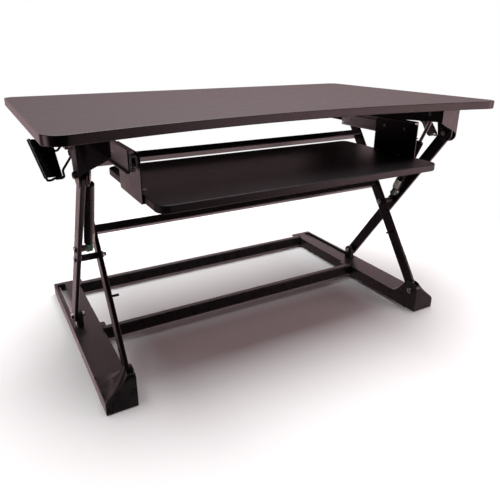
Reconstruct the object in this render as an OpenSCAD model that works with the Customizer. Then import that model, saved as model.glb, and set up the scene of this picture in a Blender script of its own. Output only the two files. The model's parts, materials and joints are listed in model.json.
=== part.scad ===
// Standing desk converter: two feet, a scissor lift with gas springs, a worktop
// and a sliding keyboard tray. X is right, Y is back, Z is up. The origin lies on
// the desk it stands on, in the middle of its footprint. The drawing itself puts
// Y = 0 at the front ends of the feet, and at_origin() moves it there.

/* [Worktop] */
// Width of the worktop
top_w = 950; // [900:5:1100]
// How far the worktop's back edge stands ahead of the feet's back ends
top_setback = 22; // [10:1:30]
// Thickness of the worktop
top_t = 16; // [12:1:22]
// Height of the worktop's underside above the top pivots
bracket_h = 59.725; // [56:0.005:70]
// Radius of the two front corners
front_corner_r = 29; // [20:1:50]
// Radius of the two back corners
back_corner_r = 25; // [12:1:40]
// How far the middle of the front edge curves back
front_dip = 53; // [40:1:70]
// Thickness of the edge band
band_t = 1.5; // [1:0.5:3]
// How far the front corners reach past the front of the feet
top_overhang = 56; // [30:1:60]

/* [Feet and base tubes] */
// Length of a foot behind the slider's slot
foot_tail = 10.75; // [6:0.25:30]
// Width of a foot
foot_w = 61; // [58:0.5:70]
// Height of a foot's top plate above the desk
foot_h = 30; // [28:1:34]
// How far the worktop's ends reach past the feet's inner walls
frame_inset = 111.5; // [108:0.5:120]
// Sheet thickness of the feet
foot_wall = 2.5; // [1.5:0.5:3]
// Height of the rubber pads
pad_h = 2; // [1:0.5:4]
// Height of a base tube
tube_h = 30; // [24:1:32]
// Depth of a base tube
tube_d = 15; // [12:1:20]
// Wall of all the tubes
tube_wall = 1.5; // [1:0.5:2.5]
// Front face of the front base tube
front_tube_y = 245; // [230:1:252]
// Distance from a foot's back end to the front face of the rear base tube
rear_tube_back = 42; // [30:1:60]

/* [Scissor lift] */
// Arm length between its end pivots
arm_len = 488; // [470:1:492]
// Angle of the arms when the worktop is raised
arm_angle = 54.7; // [50:0.1:56]
// Width of an arm
arm_w = 28; // [26:1:32]
// Thickness of an arm
arm_t = 8.5; // [8:0.5:10]
// Distance of the front pivots behind the front of the feet
pivot_y = 22; // [20:1:26]
// Height of the foot pivots
pivot_z = 53; // [50:1:56]
// Gap between the foot's inner wall and the inner arm
arm_gap = 5.5; // [4:0.5:6.5]
// Clear distance between inner and outer arm
spring_bay = 33; // [30:0.5:34]
// Diameter of the pivot bolts
bolt_d = 8; // [6:0.5:10]
// Diameter of a bolt head
bolt_head_d = 14; // [12:1:16]
// Radial clearance of a running fit
fit = 0.05; // [0.02:0.01:0.1]
// Angle of the arms when the worktop is down
low_angle = 8; // [8:0.5:20]
// Where the lower cross tube sits along the inner arms
lower_tube_at = 0.606; // [0.56:0.002:0.64]
// Where the upper cross tube sits along the inner arms
upper_tube_at = 0.905; // [0.88:0.005:0.92]

/* [Gas springs] */
// Diameter of the spring's cylinder
spring_d = 19; // [16:1:22]
// Distance from the spring's cylinder to its upper pin
spring_clear = 66.55; // [64:0.05:80]
// Diameter of the spring's rod
rod_d = 8; // [6:1:10]
// Distance from the arms' crossing up the outer arm to the spring's stud
stud_gap = 34; // [30:1:39]
// Upper pin of the spring, behind the top pivot
spring_pin_dy = 30; // [26:1:34]
// Upper pin of the spring, above the top pivot
spring_pin_dz = 31; // [27:1:34]

/* [Keyboard tray] */
// Room between a foot's inner wall and the tray's end, seen from above
tray_inset = 46.5; // [45:0.5:60]
// How far the tray's back edge stands ahead of the upper cross tube
tray_gap = 15.2; // [14:0.1:40]
// Thickness of the tray
tray_t = 15; // [12:1:18]
// Drop from the worktop's underside to the tray's top
tray_drop = 108; // [95:1:112]
// How far the tray's front edge stands ahead of the feet
tray_front = 49; // [40:1:60]
// Radius of the tray's front corners
tray_corner_r = 22; // [15:1:40]
// Length of the ball slides
slide_len = 250; // [240:5:255]
// Height of the ball slides
slide_h = 35; // [33:1:36]

/* [Release handles] */
// Width of a handle's grip
grip_w = 30; // [26:1:36]
// Length of a handle's grip
grip_len = 82; // [74:1:84]
// Diameter of the handle's wire
wire_d = 4; // [3:0.5:5]

/* [Hidden] */
$fn = 64;
eps = 0.01;

// colours
black_coat = [0.16, 0.14, 0.15];
bare_steel = [0.75, 0.75, 0.76];
nylon = [0.06, 0.06, 0.06];

// places across the width, for the right-hand side
foot_gap = top_w - 2 * frame_inset;         // between the inner walls of the two feet
foot_x = foot_gap / 2;                      // inner wall of a foot
inner_x = foot_x + arm_gap;                 // inner arm, side facing the middle
inner_far = inner_x + arm_t;
outer_x = inner_far + spring_bay;           // outer arm, side facing the middle
outer_far = outer_x + arm_t;
spring_x = inner_far + spring_bay / 2;      // axis of the gas spring

// pivots in the Y-Z plane
arm_run = arm_len * cos(arm_angle);
arm_rise = arm_len * sin(arm_angle);
F = [pivot_y, pivot_z];                     // inner arm on the foot
T = [pivot_y, pivot_z + arm_rise];          // outer arm on the worktop bracket
R = [pivot_y + arm_run, T[1]];              // inner arm in the rear track
S = [pivot_y + arm_run, pivot_z];           // outer arm in the foot's slot
C = (F + R) / 2;                            // where the arms cross
stud_at = arm_len / 2 - stud_gap;
stud = T + stud_at * [cos(arm_angle), -sin(arm_angle)];
pin = T + [spring_pin_dy, spring_pin_dz];
spring_dir = atan2(pin[1] - stud[1], pin[0] - stud[0]);
spring_span = norm(pin - stud);

// slider, slot and foot
slot_in = 34.5;                             // slot edges, from the foot's inner wall
slot_w = 20.5;
shoe_l = 28;                                // length of the slider's shoe
shoe_w = 12.6;
shoe_gap = 0.7;
slot_spare = 14;                            // slot behind the slider when the lift is down
low_run = arm_len * cos(low_angle);
slot_front = S[0] - shoe_l / 2 - fit;
slot_back = pivot_y + low_run + shoe_l / 2 + slot_spare;
foot_len = slot_back + foot_tail;
rear_tube_y = foot_len - rear_tube_back;

// worktop
under_z = T[1] + bracket_h;
top_front = -top_overhang;
top_back = foot_len - top_setback;
top_d = top_back - top_front;
edge_cx = top_w / 2 - front_corner_r;
front_arc_r = (pow(edge_cx, 2) + pow(front_dip - front_corner_r, 2)
               - pow(front_corner_r, 2)) / (2 * front_dip);

// base
rail_z = 10;
hump_r = 25;
hump_skin = 1.5;
hump_w = arm_gap + arm_t + hump_skin + 0.5;  // hump, from the inner wall outwards
arm_room = arm_w / 2 + 1.5;
slot_rail_wall = 1.5;
tube_z = 5;
ear_w = 10;

// worktop bracket and rear track
plate = 2.5;
track_gap = 16.6;
track_flange = 22;
track_x = inner_far + 0.5;
lug_gap = 1.5;
lug_r = 20;
lug_in = outer_x - lug_gap - plate;         // inner lug and side plate
lug_out = outer_far + lug_gap;              // outer lug and side plate
gusset_in = foot_x + 7;
gusset_y = 3;
gusset_h = 33;                              // height of the gusset's inner end
stay = [T[0] + 18, under_z - 16.5];         // bolt that ties the bracket's two inner plates
stay_d = 5;
stay_head_d = 8;
side_low = T[1] + 31;
bracket_back = 200;

// slides and tray
tray_z = under_z - tray_drop;               // tray's top
tray_y = -tray_front;
tray_foot_w = 24;                           // width of the tray bracket's foot
tray_d = F[0] + upper_tube_at * arm_run - tray_gap - tray_y;
tray_w = foot_gap - 2 * tray_inset;
wall_x = tray_w / 2 + 1.5;                  // tray bracket, inner face
bracket_t = 2;
slide_x = wall_x + bracket_t;               // slide, inner face
slide_w = 12.7;
slide_z = under_z - 52;
slide_y = tray_y + 87;
rail_t = 1.5;
hanger_x = slide_x + slide_w;
hanger_t = 2.5;
hanger_run = 140;                           // length of the part that reaches up
hanger_flange = 28;
screw_ys = [36, 98];
tray_screw_ys = [33, 100];
bracket_y = tray_y + 73;
bracket_l = 131;

// screws into the worktop's underside, on the right-hand side
screw_at = [for (x = [gusset_in + 18, lug_out - 6], y = [0.3, 0.75] * bracket_back) [x, y],
            for (y = [R[0] + 20, top_back - 60]) [track_x + 26, y],
            for (y = [slide_len - 120, slide_len - 20]) [hanger_x + 18, slide_y + y]];
screw_d = 4;
screw_grip = 8;                             // depth of a screw in a board

// handle
grip_tilt = 43;
hinge_tilt = 46;
knuckle_d = wire_d + 5;
knuckle_l = 14;
hinge_lo = [lug_in + plate + knuckle_d / 2, T[0] + 78, T[1] + 20];
hinge_dir = [0, cos(hinge_tilt), sin(hinge_tilt)];
hinge_gap = 38;
hinge_hi = hinge_lo + hinge_gap * hinge_dir;
grip_x = outer_far + 17;
grip_low = [T[0] + 66, T[1] - 18];

// ---- helpers ----
module at_origin() { translate([0, (top_overhang - foot_len) / 2, 0]) children(); }
module on_side(s) { mirror([s < 0 ? 1 : 0, 0, 0]) children(); }
module both() { on_side(1) children(); on_side(-1) children(); }
// a cylinder along X from x0 to x1, at p in the Y-Z plane
module rod_x(x0, x1, d, p) {
  translate([x0, p[0], p[1]]) rotate([0, 90, 0]) cylinder(h = x1 - x0, d = d);
}
// a hexagon along X
module hex_x(x0, x1, d, p) {
  translate([x0, p[0], p[1]]) rotate([0, 90, 0]) cylinder(h = x1 - x0, d = d, $fn = 6);
}
// puts +Y of the children along the angle a in the Y-Z plane, from p
module along(p, a) { translate([0, p[0], p[1]]) rotate([a, 0, 0]) children(); }
// extrudes a drawing of the Y-Z plane along X from x0 to x1
module sheet_x(x0, x1) {
  translate([x0, 0, 0]) rotate([90, 0, 90]) linear_extrude(x1 - x0) children();
}
// a straight round bar between two points
module bar(a, b, d) {
  v = b - a;
  translate(a) rotate([0, acos(v[2] / norm(v)), atan2(v[1], v[0])])
    cylinder(h = norm(v), d = d);
}
// rectangle with round corners
module round_rect(x, y, r) {
  translate([r, 0]) square([x - 2 * r, y]);
  translate([0, r]) square([x, y - 2 * r]);
  for (i = [r, x - r], j = [r, y - r]) translate([i, j]) circle(r);
}

// ---- base ----
// outline of the hump round the foot pivot, seen from the side: a round top, a
// square front and a hollow fall behind
hump_fall = 35;
module hump_side() {
  root = foot_h - foot_wall + 0.5;
  rise = F[1] - foot_h;
  back = sqrt(pow(hump_r + hump_fall, 2) - pow(hump_fall - rise, 2));
  part = hump_r / (hump_r + hump_fall);
  meet = [back * part, (hump_fall - rise) * part];
  intersection() {
    translate(F) circle(hump_r);
    translate([0, root]) square([F[0] + hump_r, F[1] + hump_r]);
  }
  translate([0, root]) square([F[0], F[1] - root]);
  difference() {
    polygon([[F[0], root], [F[0] + back, root], [F[0] + back, foot_h], F + meet, [F[0], F[1]]]);
    translate([F[0] + back, foot_h + hump_fall - 0.1]) circle(hump_fall);
  }
}
// solid body of the nose, before it is hollowed
module nose() {
  root = foot_h - foot_wall + 0.5;
  // round cheeks that carry the pivot
  sheet_x(0, hump_w) hump_side();
  // shoulder that falls from the hump to the flat top
  hull() {
    translate([hump_w - 1, 4, root]) cube([1, F[0] + hump_r + 4, 2]);
    translate([hump_w - 1, 14, root]) cube([1, F[0] + hump_r - 20, 28]);
    translate([hump_w + 14, 8, root]) cube([1, F[0] + hump_r, 1]);
  }
  // lip along the front edge, low outside and high inside
  hull() {
    sheet_x(0.5, 1.5) polygon([[0.5, root], [0.5, F[1] + 9], [3, F[1] + 9], [42, root]]);
    sheet_x(foot_w - 3, foot_w - 2) polygon([[0.5, root], [0.5, foot_h + 1], [8, root]]);
  }
}
module foot(s) {
  on_side(s) color(black_coat) translate([foot_x, 0, 0]) difference() {
    union() {
      // folded channel
      difference() {
        translate([0, foot_len, 0]) rotate([90, 0, 0]) linear_extrude(foot_len)
          translate([0, pad_h]) intersection() {
            round_rect(foot_w, foot_h - pad_h + 10, 4);
            square([foot_w, foot_h - pad_h - 4]);
          }
        translate([foot_wall, foot_wall, -eps])
          cube([foot_w - 2 * foot_wall, foot_len - 2 * foot_wall, foot_h]);
      }
      difference() {
        translate([0, foot_len, 0]) rotate([90, 0, 0]) linear_extrude(foot_len)
          translate([0, pad_h]) round_rect(foot_w, foot_h - pad_h, 4);
        translate([-1, -1, -eps]) cube([foot_w + 2, foot_len + 2, foot_h - 4 - eps]);
        translate([foot_wall, foot_wall, -eps])
          cube([foot_w - 2 * foot_wall, foot_len - 2 * foot_wall, foot_h - foot_wall]);
      }
      nose();
      // tabs behind the base tubes
      for (y = [front_tube_y, rear_tube_y])
        translate([-ear_w, y + tube_d + 8, foot_h - foot_wall]) cube([ear_w + foot_wall, 18, foot_wall]);
    }
    // room for the arm in the hump
    translate([foot_wall, F[0] - arm_room, F[1] - arm_room])
      cube([hump_w - foot_wall - hump_skin, hump_r * 2 + 60, 80]);
    // slot for the slider
    translate([slot_in, slot_front, foot_h - 12]) cube([slot_w, slot_back - slot_front, 20]);
    // bore for the pivot bolt
    rod_x(-5, hump_w + 1, bolt_d, F);
  }
}
module pads_one() {
  for (y = [30, foot_len - 60])
    translate([foot_x + foot_wall, y, 0]) cube([foot_w - 2 * foot_wall, 30, pad_h + 3]);
  for (y = [30, foot_len - 60])
    translate([foot_x, y, 0]) cube([foot_w, 30, pad_h]);
}
module foot_pads() { color([0.05, 0.05, 0.05]) both() pads_one(); }
module base_tube(y) {
  color(black_coat) translate([-foot_x, y, tube_z]) difference() {
    cube([foot_gap, tube_d, tube_h]);
    translate([-1, tube_wall, tube_wall])
      cube([foot_gap + 2, tube_d - 2 * tube_wall, tube_h - 2 * tube_wall]);
  }
}
module slot_rail() {
  l = slot_back - slot_front + 8;
  w = slot_rail_wall;
  translate([foot_x + slot_in - w, slot_front - 4, rail_z]) {
    cube([foot_w - foot_wall - slot_in + w, l, w]);
    cube([w, l, foot_h - foot_wall - rail_z]);
    translate([w + shoe_w + 2 * shoe_gap, 0, 0]) cube([w, l, 14]);
  }
}
module foot_pivot_bolt() {
  rod_x(foot_x - 4, foot_x - eps, bolt_head_d, F);
  rod_x(foot_x - 4, foot_x + hump_w, bolt_d, F);
}

// ---- inner frame ----
module arm(bores) {
  difference() {
    union() {
      difference() {
        translate([0, 0, -arm_w / 2]) cube([arm_t, arm_len, arm_w]);
        translate([tube_wall, -1, -arm_w / 2 + tube_wall])
          cube([arm_t - 2 * tube_wall, arm_len + 2, arm_w - 2 * tube_wall]);
      }
      for (y = [0, arm_len]) rod_x(0, arm_t, arm_w, [y, 0]);
      for (y = bores) rod_x(tube_wall / 2, arm_t - tube_wall / 2, bolt_d + 7, [y, 0]);
    }
    for (y = concat([0, arm_len], bores)) rod_x(-1, arm_t + 1, bolt_d + 2 * fit, [y, 0]);
  }
}
module inner_arm(s) {
  on_side(s) color(black_coat) translate([inner_x, 0, 0]) along(F, arm_angle)
    arm([arm_len / 2]);
}
module cross_tube(at, across, deep) {
  color(black_coat) along(F, arm_angle)
    translate([-inner_x, at * arm_len - deep / 2, -across / 2]) difference() {
      cube([2 * inner_x, deep, across]);
      translate([-1, tube_wall, tube_wall])
        cube([2 * inner_x + 2, deep - 2 * tube_wall, across - 2 * tube_wall]);
    }
}
module centre_bolt() {
  rod_x(inner_x - 5, inner_x - eps, bolt_head_d, C);
  rod_x(inner_x - 5, outer_far + 3, bolt_d, C);
  rod_x(outer_far + 0.3, outer_far + 3, bolt_head_d - 2, C);
}
module centre_spacer() {
  difference() {
    rod_x(inner_far, outer_x - 0.2, bolt_d + 5, C);
    rod_x(inner_far - 1, outer_x + 1, bolt_d + 2 * fit, C);
  }
}
module stub_pin() {
  p = F + 0.324 * arm_len * [cos(arm_angle), sin(arm_angle)];
  rod_x(inner_x - 15, inner_x, 5, p);
}
module glide_pin() {
  rod_x(inner_x - 4, inner_x - eps, bolt_head_d, R);
  rod_x(inner_x - 4, inner_far + 9.5, bolt_d, R);
}

// ---- outer arms ----
module outer_arm(s) {
  on_side(s) color(black_coat) translate([outer_x, 0, 0]) along(T, -arm_angle)
    arm([stud_at, arm_len / 2]);
}
module spring_stud(s) {
  on_side(s) color(bare_steel) {
    rod_x(outer_far, outer_far + 3.5, bolt_head_d - 1, stud);
    rod_x(spring_x - end_w / 2 - 2, outer_far + 3.5, bolt_d + 2 * fit, stud);
    rod_x(spring_x + end_w / 2 + 0.5, outer_x, bolt_d + 5, stud);
  }
}
module slider_bolt(s) {
  on_side(s) color(bare_steel) {
    rod_x(outer_far, outer_far + 1.5, bolt_head_d + 2, S);
    rod_x(outer_far, outer_far + 4.5, bolt_head_d - 1, S);
    rod_x(outer_x - 19, outer_far + 4.5, bolt_d + 2 * fit, S);
    hex_x(outer_x - 17.9, outer_x - 11.9, bolt_head_d, S);
  }
}
module slider_block(s) {
  x0 = foot_x + slot_in + shoe_gap;
  on_side(s) color(nylon) difference() {
    union() {
      translate([x0, S[0] - shoe_l / 2, rail_z + slot_rail_wall + 0.3])
        cube([shoe_w, shoe_l, foot_h - rail_z]);
      sheet_x(x0, outer_x - 0.4) {
        translate(S) circle(13);
        translate([S[0] - 13, foot_h - 6]) square([26, S[1] - foot_h + 6]);
      }
    }
    rod_x(x0 - 1, outer_x + 1, bolt_d + 4 * fit, S);
  }
}
module glide(s) {
  on_side(s) color(nylon) difference() {
    translate([inner_far + 0.8, R[0] - 14, R[1] - 8]) cube([9.5, 28, 16]);
    rod_x(inner_far, inner_far + 12, bolt_d + 2 * fit, R);
  }
}

// ---- gas springs, drawn along +Y from the stud ----
module spring_axis(s) {
  on_side(s) translate([spring_x, 0, 0]) along(stud, spring_dir) children();
}
module rod_y(y0, y1, d) { translate([0, y0, 0]) rotate([-90, 0, 0]) cylinder(h = y1 - y0, d = d); }
// the rod's eye rides loosely on its pin, because the spring turns a little as it closes
eye_od = 19;
eye_play = 2.3;
eye_shift = -1.15;
end_w = 11;                                 // width of the spring's lower end
end_d = 14;
body_y = 13.5;                              // lower end of the cylinder
spring_len = spring_span - spring_clear - body_y;
rod_in = 80;                                // where the rod ends inside the cylinder
rod_stroke = 46;                            // room for the rod to slide in
sleeve_y = 17;
sleeve_l = 25;
sleeve_t = 1.2;
sleeve_reach = 4;                           // the sleeve covers the inner side, from here
module spring_end(s) {
  spring_axis(s) color([0.45, 0.62, 0.5]) difference() {
    union() {
      translate([-end_w / 2, 0, -end_d / 2 + 1]) cube([end_w, body_y, end_d - 2]);
      rod_x(-end_w / 2, end_w / 2, end_d, [-2, 0]);
    }
    rod_x(-end_w, end_w, bolt_d + 4 * fit, [0, 0]);
  }
}
module spring_sleeve(s) {
  r = spring_d / 2 + sleeve_t;
  spring_axis(s) color([0.72, 0.72, 0.68]) difference() {
    rod_y(sleeve_y, sleeve_y + sleeve_l, 2 * r);
    rod_y(sleeve_y - 1, sleeve_y + sleeve_l + 1, spring_d);
    translate([-sleeve_reach, sleeve_y - 1, -r - 1])
      cube([r + sleeve_reach + 1, sleeve_l + 2, 2 * r + 2]);
  }
}
module spring_cylinder(s) {
  spring_axis(s) color([0.08, 0.08, 0.08]) difference() {
    union() {
      rod_y(body_y, body_y + spring_len - 4, spring_d);
      translate([0, body_y + spring_len - 4, 0]) rotate([-90, 0, 0])
        cylinder(h = 4, d1 = spring_d, d2 = spring_d - 7);
    }
    rod_y(body_y + rod_in - rod_stroke, body_y + spring_len + 1, rod_d + 2 * fit);
  }
}
module spring_rod(s) {
  spring_axis(s) color(bare_steel) {
    rod_y(body_y + rod_in, spring_span - 6, rod_d);
    difference() {
      rod_x(-4.5, 4.5, eye_od, [spring_span, 0]);
      rod_x(-6, 6, bolt_d + 2 * eye_play, [spring_span, eye_shift]);
    }
  }
}

// ---- worktop ----
// plan of the worktop, drawn in by d all round
module top_plan(d) {
  difference() {
    union() {
      translate([-top_w / 2 + d, top_front + front_corner_r])
        square([top_w - 2 * d, top_d - front_corner_r - back_corner_r]);
      translate([-edge_cx, top_front + d]) square([2 * edge_cx, front_corner_r]);
      translate([-top_w / 2 + back_corner_r, top_back - back_corner_r - 1])
        square([top_w - 2 * back_corner_r, back_corner_r + 1 - d]);
      for (i = [-1, 1]) {
        translate([i * edge_cx, top_front + front_corner_r]) circle(front_corner_r - d);
        translate([i * (top_w / 2 - back_corner_r), top_back - back_corner_r])
          circle(back_corner_r - d);
      }
    }
    translate([0, top_front + front_dip - front_arc_r]) circle(front_arc_r + d, $fn = 256);
  }
}
module worktop_panel() {
  color([0.3, 0.27, 0.27]) difference() {
    translate([0, 0, under_z]) linear_extrude(top_t) top_plan(band_t);
    screw_holes();
  }
}
module worktop_edge() {
  color([0.34, 0.3, 0.3]) translate([0, 0, under_z]) linear_extrude(top_t)
    difference() { top_plan(0); top_plan(band_t); }
}
// side plate with the lug for the top pivot, tapering to the back
module side_plate(back) {
  translate(T) circle(lug_r);
  polygon([[gusset_y, under_z], [gusset_y, T[1]], [T[0], T[1]],
           [T[0] + lug_r, T[1]], [T[0] + lug_r + 6, side_low], [back, side_low + 8], [back, under_z]]);
}
module bracket(s) {
  on_side(s) color(black_coat) {
    difference() {
      union() {
        sheet_x(lug_in, lug_in + plate) intersection() {
          side_plate(bracket_back);
          translate([gusset_y, T[1] - lug_r - 1]) square([bracket_back, under_z]);
        }
        sheet_x(lug_out, lug_out + plate) intersection() {
          side_plate(bracket_back - 90);
          translate([gusset_y, T[1] - lug_r - 1]) square([bracket_back, under_z]);
        }
        // front gusset, with a return along its inner end and a long plate behind that
        translate([0, gusset_y + plate, 0]) rotate([90, 0, 0]) linear_extrude(plate)
          polygon([[gusset_in, under_z], [gusset_in, under_z - gusset_h], [gusset_in + 12, under_z - 41],
                   [gusset_in + 29, under_z - 48], [lug_out + plate, T[1] - 1],
                   [lug_out + plate, under_z]]);
        translate([gusset_in, gusset_y, under_z - gusset_h]) cube([plate, 24, gusset_h]);
        translate([gusset_in + plate, gusset_y, under_z - gusset_h + 1])
          cube([plate, bracket_back - gusset_y, gusset_h - 1]);
        // flange screwed under the worktop
        translate([gusset_in, gusset_y, under_z - plate])
          cube([lug_out + plate - gusset_in, bracket_back - gusset_y, plate]);
      }
      rod_x(lug_in - 1, lug_out + plate + 1, bolt_d, T);
      rod_x(lug_in - 1, lug_in + plate + 1, bolt_d, pin);
      rod_x(gusset_in, lug_in + plate + 1, stay_d, stay);
      screw_holes();
    }
  }
}
module rear_track(s) {
  y0 = R[0] - 15;
  y1 = pivot_y + low_run + 14.5;
  w = 11.3;                                 // room for the glide, across the track
  low = R[1] - track_gap / 2 - plate;
  stop = 1.5;
  on_side(s) color(black_coat) difference() {
    translate([track_x, 0, 0]) {
      for (z = [low, R[1] + track_gap / 2]) translate([0, y0, z]) cube([w, y1 - y0, plate]);
      translate([w, y0, low]) cube([plate, y1 - y0, under_z - low]);
      translate([w, y0, under_z - plate]) cube([track_flange, y1 - y0, plate]);
      // stops at both ends
      for (y = [y0 - stop, y1]) translate([0, y, low])
        cube([w + plate, stop, track_gap + 2 * plate]);
    }
    screw_holes();
  }
}
module slide_hanger() {
  z0 = slide_z - slide_h / 2;
  y0 = slide_y + slide_len - hanger_run;
  difference() {
    union() {
      translate([hanger_x, slide_y, z0 - 2]) cube([hanger_t, slide_len, slide_h + 4]);
      translate([hanger_x, slide_y, z0 - 2]) cube([hanger_t + 5, slide_len, 2]);
      translate([hanger_x, y0, z0]) cube([hanger_t, hanger_run, under_z - z0]);
      translate([hanger_x, y0, under_z - plate]) cube([hanger_flange, hanger_run, plate]);
    }
    screw_holes();
  }
}
// one member of a ball slide: a channel whose lips point inwards (-1) or outwards (1)
module slide_member(x0, x1, h, web_first) {
  for (z = [slide_z - h / 2, slide_z + h / 2 - rail_t])
    translate([x0, 0, z]) cube([x1 - x0, slide_len, rail_t]);
  translate([web_first ? x0 : x1 - rail_t, 0, slide_z - h / 2]) cube([rail_t, slide_len, h]);
}
module slide_outer(s) {
  on_side(s) color([0.3, 0.3, 0.31]) translate([0, slide_y, 0])
    slide_member(slide_x + 3.6, hanger_x, slide_h, false);
}
module slide_mid(s) {
  on_side(s) color(bare_steel) translate([0, slide_y, 0])
    slide_member(slide_x + 2.6, hanger_x - rail_t - 1, slide_h - 2 * rail_t - 2, false);
}
module slide_inner(s) {
  on_side(s) color(bare_steel) translate([0, slide_y - 3, 0]) difference() {
    slide_member(slide_x, hanger_x - 2 * rail_t - 3, slide_h - 4 * rail_t - 9, true);
    for (back = [52, 38, 14]) rod_x(slide_x - 1, slide_x + 3, 4.5, [slide_len - back, slide_z]);
    translate([0, 3 - slide_y, 0]) tray_side_shanks();
  }
}
module top_pivot_bolt() {
  rod_x(lug_in - 1.5, lug_in, bolt_head_d + 2, T);
  rod_x(lug_in - 5, lug_in, bolt_head_d - 3, T);
  rod_x(lug_in - 5, lug_out + plate + 6, bolt_d, T);
  hex_x(lug_out + plate, lug_out + plate + 5, bolt_head_d, T);
}
module spring_pin() {
  rod_x(spring_x - 8, lug_in + plate, bolt_d, pin);
  rod_x(spring_x - 8, spring_x - 5, bolt_head_d, pin);
  rod_x(spring_x + 5, lug_in, bolt_d + 3, pin);
}
module bracket_bolt() {
  rod_x(gusset_in + plate - 2.5, gusset_in + plate, stay_head_d, stay);
  rod_x(gusset_in + plate - 2.5, lug_in + plate, stay_d, stay);
}
// knuckles that hold the ends of a handle's wire
module handle_mount() {
  difference() {
    for (p = [hinge_lo, hinge_hi])
      hull() {
        bar(p - 4 * hinge_dir, p + 4 * hinge_dir, knuckle_d);
        translate([lug_in + plate, p[1] - knuckle_l / 2, p[2] + 2])
          cube([1.5, knuckle_l, min(knuckle_l, under_z - plate - p[2] - 2)]);
      }
    bar(hinge_lo - knuckle_l * hinge_dir, hinge_hi + knuckle_l * hinge_dir, wire_d + 2 * fit);
  }
}
// the holes for the screws, from under the flanges into the board
module screw_holes() {
  both() for (p = screw_at)
    translate([p[0], p[1], under_z - plate]) cylinder(h = plate + screw_grip, d = screw_d);
}
module panel_screws() {
  color([0.5, 0.5, 0.5]) {
    screw_holes();
    both() for (p = screw_at)
      translate([p[0], p[1], under_z - plate - 2.2]) cylinder(h = 2.2, d = 9);
  }
}

// ---- tray ----
module tray_plan() {
  intersection() {
    round_rect(tray_w, tray_d, tray_corner_r);
    union() {
      translate([-1, -1]) square([tray_w + 2, tray_d / 2 + 1]);
      translate([0, tray_d / 3]) round_rect(tray_w, tray_d * 2 / 3, 18);
    }
  }
  translate([0, tray_d / 2]) round_rect(tray_w, tray_d / 2, 18);
}
// screws through the bracket's foot into the tray, with their heads let into the top
module tray_top_screws() {
  for (y = tray_screw_ys) translate([wall_x - tray_foot_w + 10, bracket_y + y, 0]) {
    translate([0, 0, tray_z - 1]) cylinder(h = 1, d = 9);
    translate([0, 0, tray_z - tray_t - plate - 2]) cylinder(h = tray_t + plate + 1.5, d = screw_d);
  }
}
// shanks of the screws that join the bracket and the slide's inner member
module tray_side_shanks() {
  for (y = screw_ys) rod_x(wall_x, slide_x + rail_t, screw_d, [bracket_y + y, slide_z + 2]);
}
module tray_panel() {
  color([0.27, 0.24, 0.24]) difference() {
    translate([-tray_w / 2, tray_y, tray_z - tray_t]) linear_extrude(tray_t) tray_plan();
    both() tray_top_screws();
  }
}
module tray_bracket(s) {
  top = slide_z + slide_h / 2 - 2;
  low = tray_z - tray_t - plate;
  on_side(s) color(black_coat) difference() {
    union() {
      sheet_x(wall_x, wall_x + bracket_t) translate([bracket_y, low]) round_rect(bracket_l, top - low, 5);
      translate([wall_x - tray_foot_w, bracket_y + 5, low])
        cube([tray_foot_w + eps, bracket_l - 10, plate]);
    }
    tray_top_screws();
    tray_side_shanks();
  }
}
module tray_screws() {
  color(bare_steel) both() {
    tray_side_shanks();
    for (y = screw_ys) rod_x(wall_x - 2.5, wall_x, 8, [bracket_y + y, slide_z + 2]);
    tray_top_screws();
  }
}

// ---- handles ----
// a point on the grip: x outwards, y up along it, z off its face
function on_grip(x, y, z) = [grip_x + x, grip_low[0] + y * cos(grip_tilt) - z * sin(grip_tilt),
                             grip_low[1] + y * sin(grip_tilt) + z * cos(grip_tilt)];
grip_t = 2;
grip_drop = 3;                              // gap between the lower wire's loop and the grip
roll_d = wire_d + 2.5;
grip_out = grip_w - 7.5;                     // outer lower corner
grip_flare = 0.155;                         // slope of the outer edge
grip_mid = grip_len * 0.7;                  // where the upper wire crosses the back
function outer_edge(y) = grip_out + grip_flare * y;
low_sleeve = [on_grip(-3, 0, grip_t / 2), on_grip(8, 0, grip_t / 2)];
back_sleeve = [on_grip(-2, grip_mid, -2.5), on_grip(grip_out, grip_mid + 3, -2.5)];
outer_roll = [on_grip(outer_edge(3), 3, grip_t / 2),
              on_grip(outer_edge(grip_len), grip_len, grip_t / 2)];
// the point at a share k of a run's length, counted from its first end
function along(run, k) = run[0] + k * (run[1] - run[0]);
// a bar, made longer by a share k of its length at both ends
module long_bar(run, d, k) { bar(along(run, -k), along(run, 1 + k), d); }
module handle_grip(s) {
  on_side(s) color(black_coat) difference() {
    union() {
      translate([grip_x, grip_low[0], grip_low[1]]) rotate([grip_tilt, 0, 0]) linear_extrude(grip_t)
        polygon([[-3, 0], [8, 0], [8, grip_drop], [outer_edge(grip_drop), grip_drop],
                 [outer_edge(grip_len), grip_len + 2], [-1, grip_len - 6]]);
      long_bar(low_sleeve, wire_d + 2, 0);
      long_bar(back_sleeve, wire_d + 3, 0);
      long_bar(outer_roll, roll_d, 0);
    }
    long_bar(low_sleeve, wire_d, 0.5);
    long_bar(back_sleeve, wire_d, 0.2);
    bar(on_grip(outer_edge(-4), -4, grip_t / 2), on_grip(outer_edge(50), 50, grip_t / 2), wire_d);
  }
}
module wire_run(pts) {
  for (i = [0 : len(pts) - 2]) bar(pts[i], pts[i + 1], wire_d);
  for (i = [1 : len(pts) - 2]) translate(pts[i]) sphere(d = wire_d + 0.4, $fn = 16);
}
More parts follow.
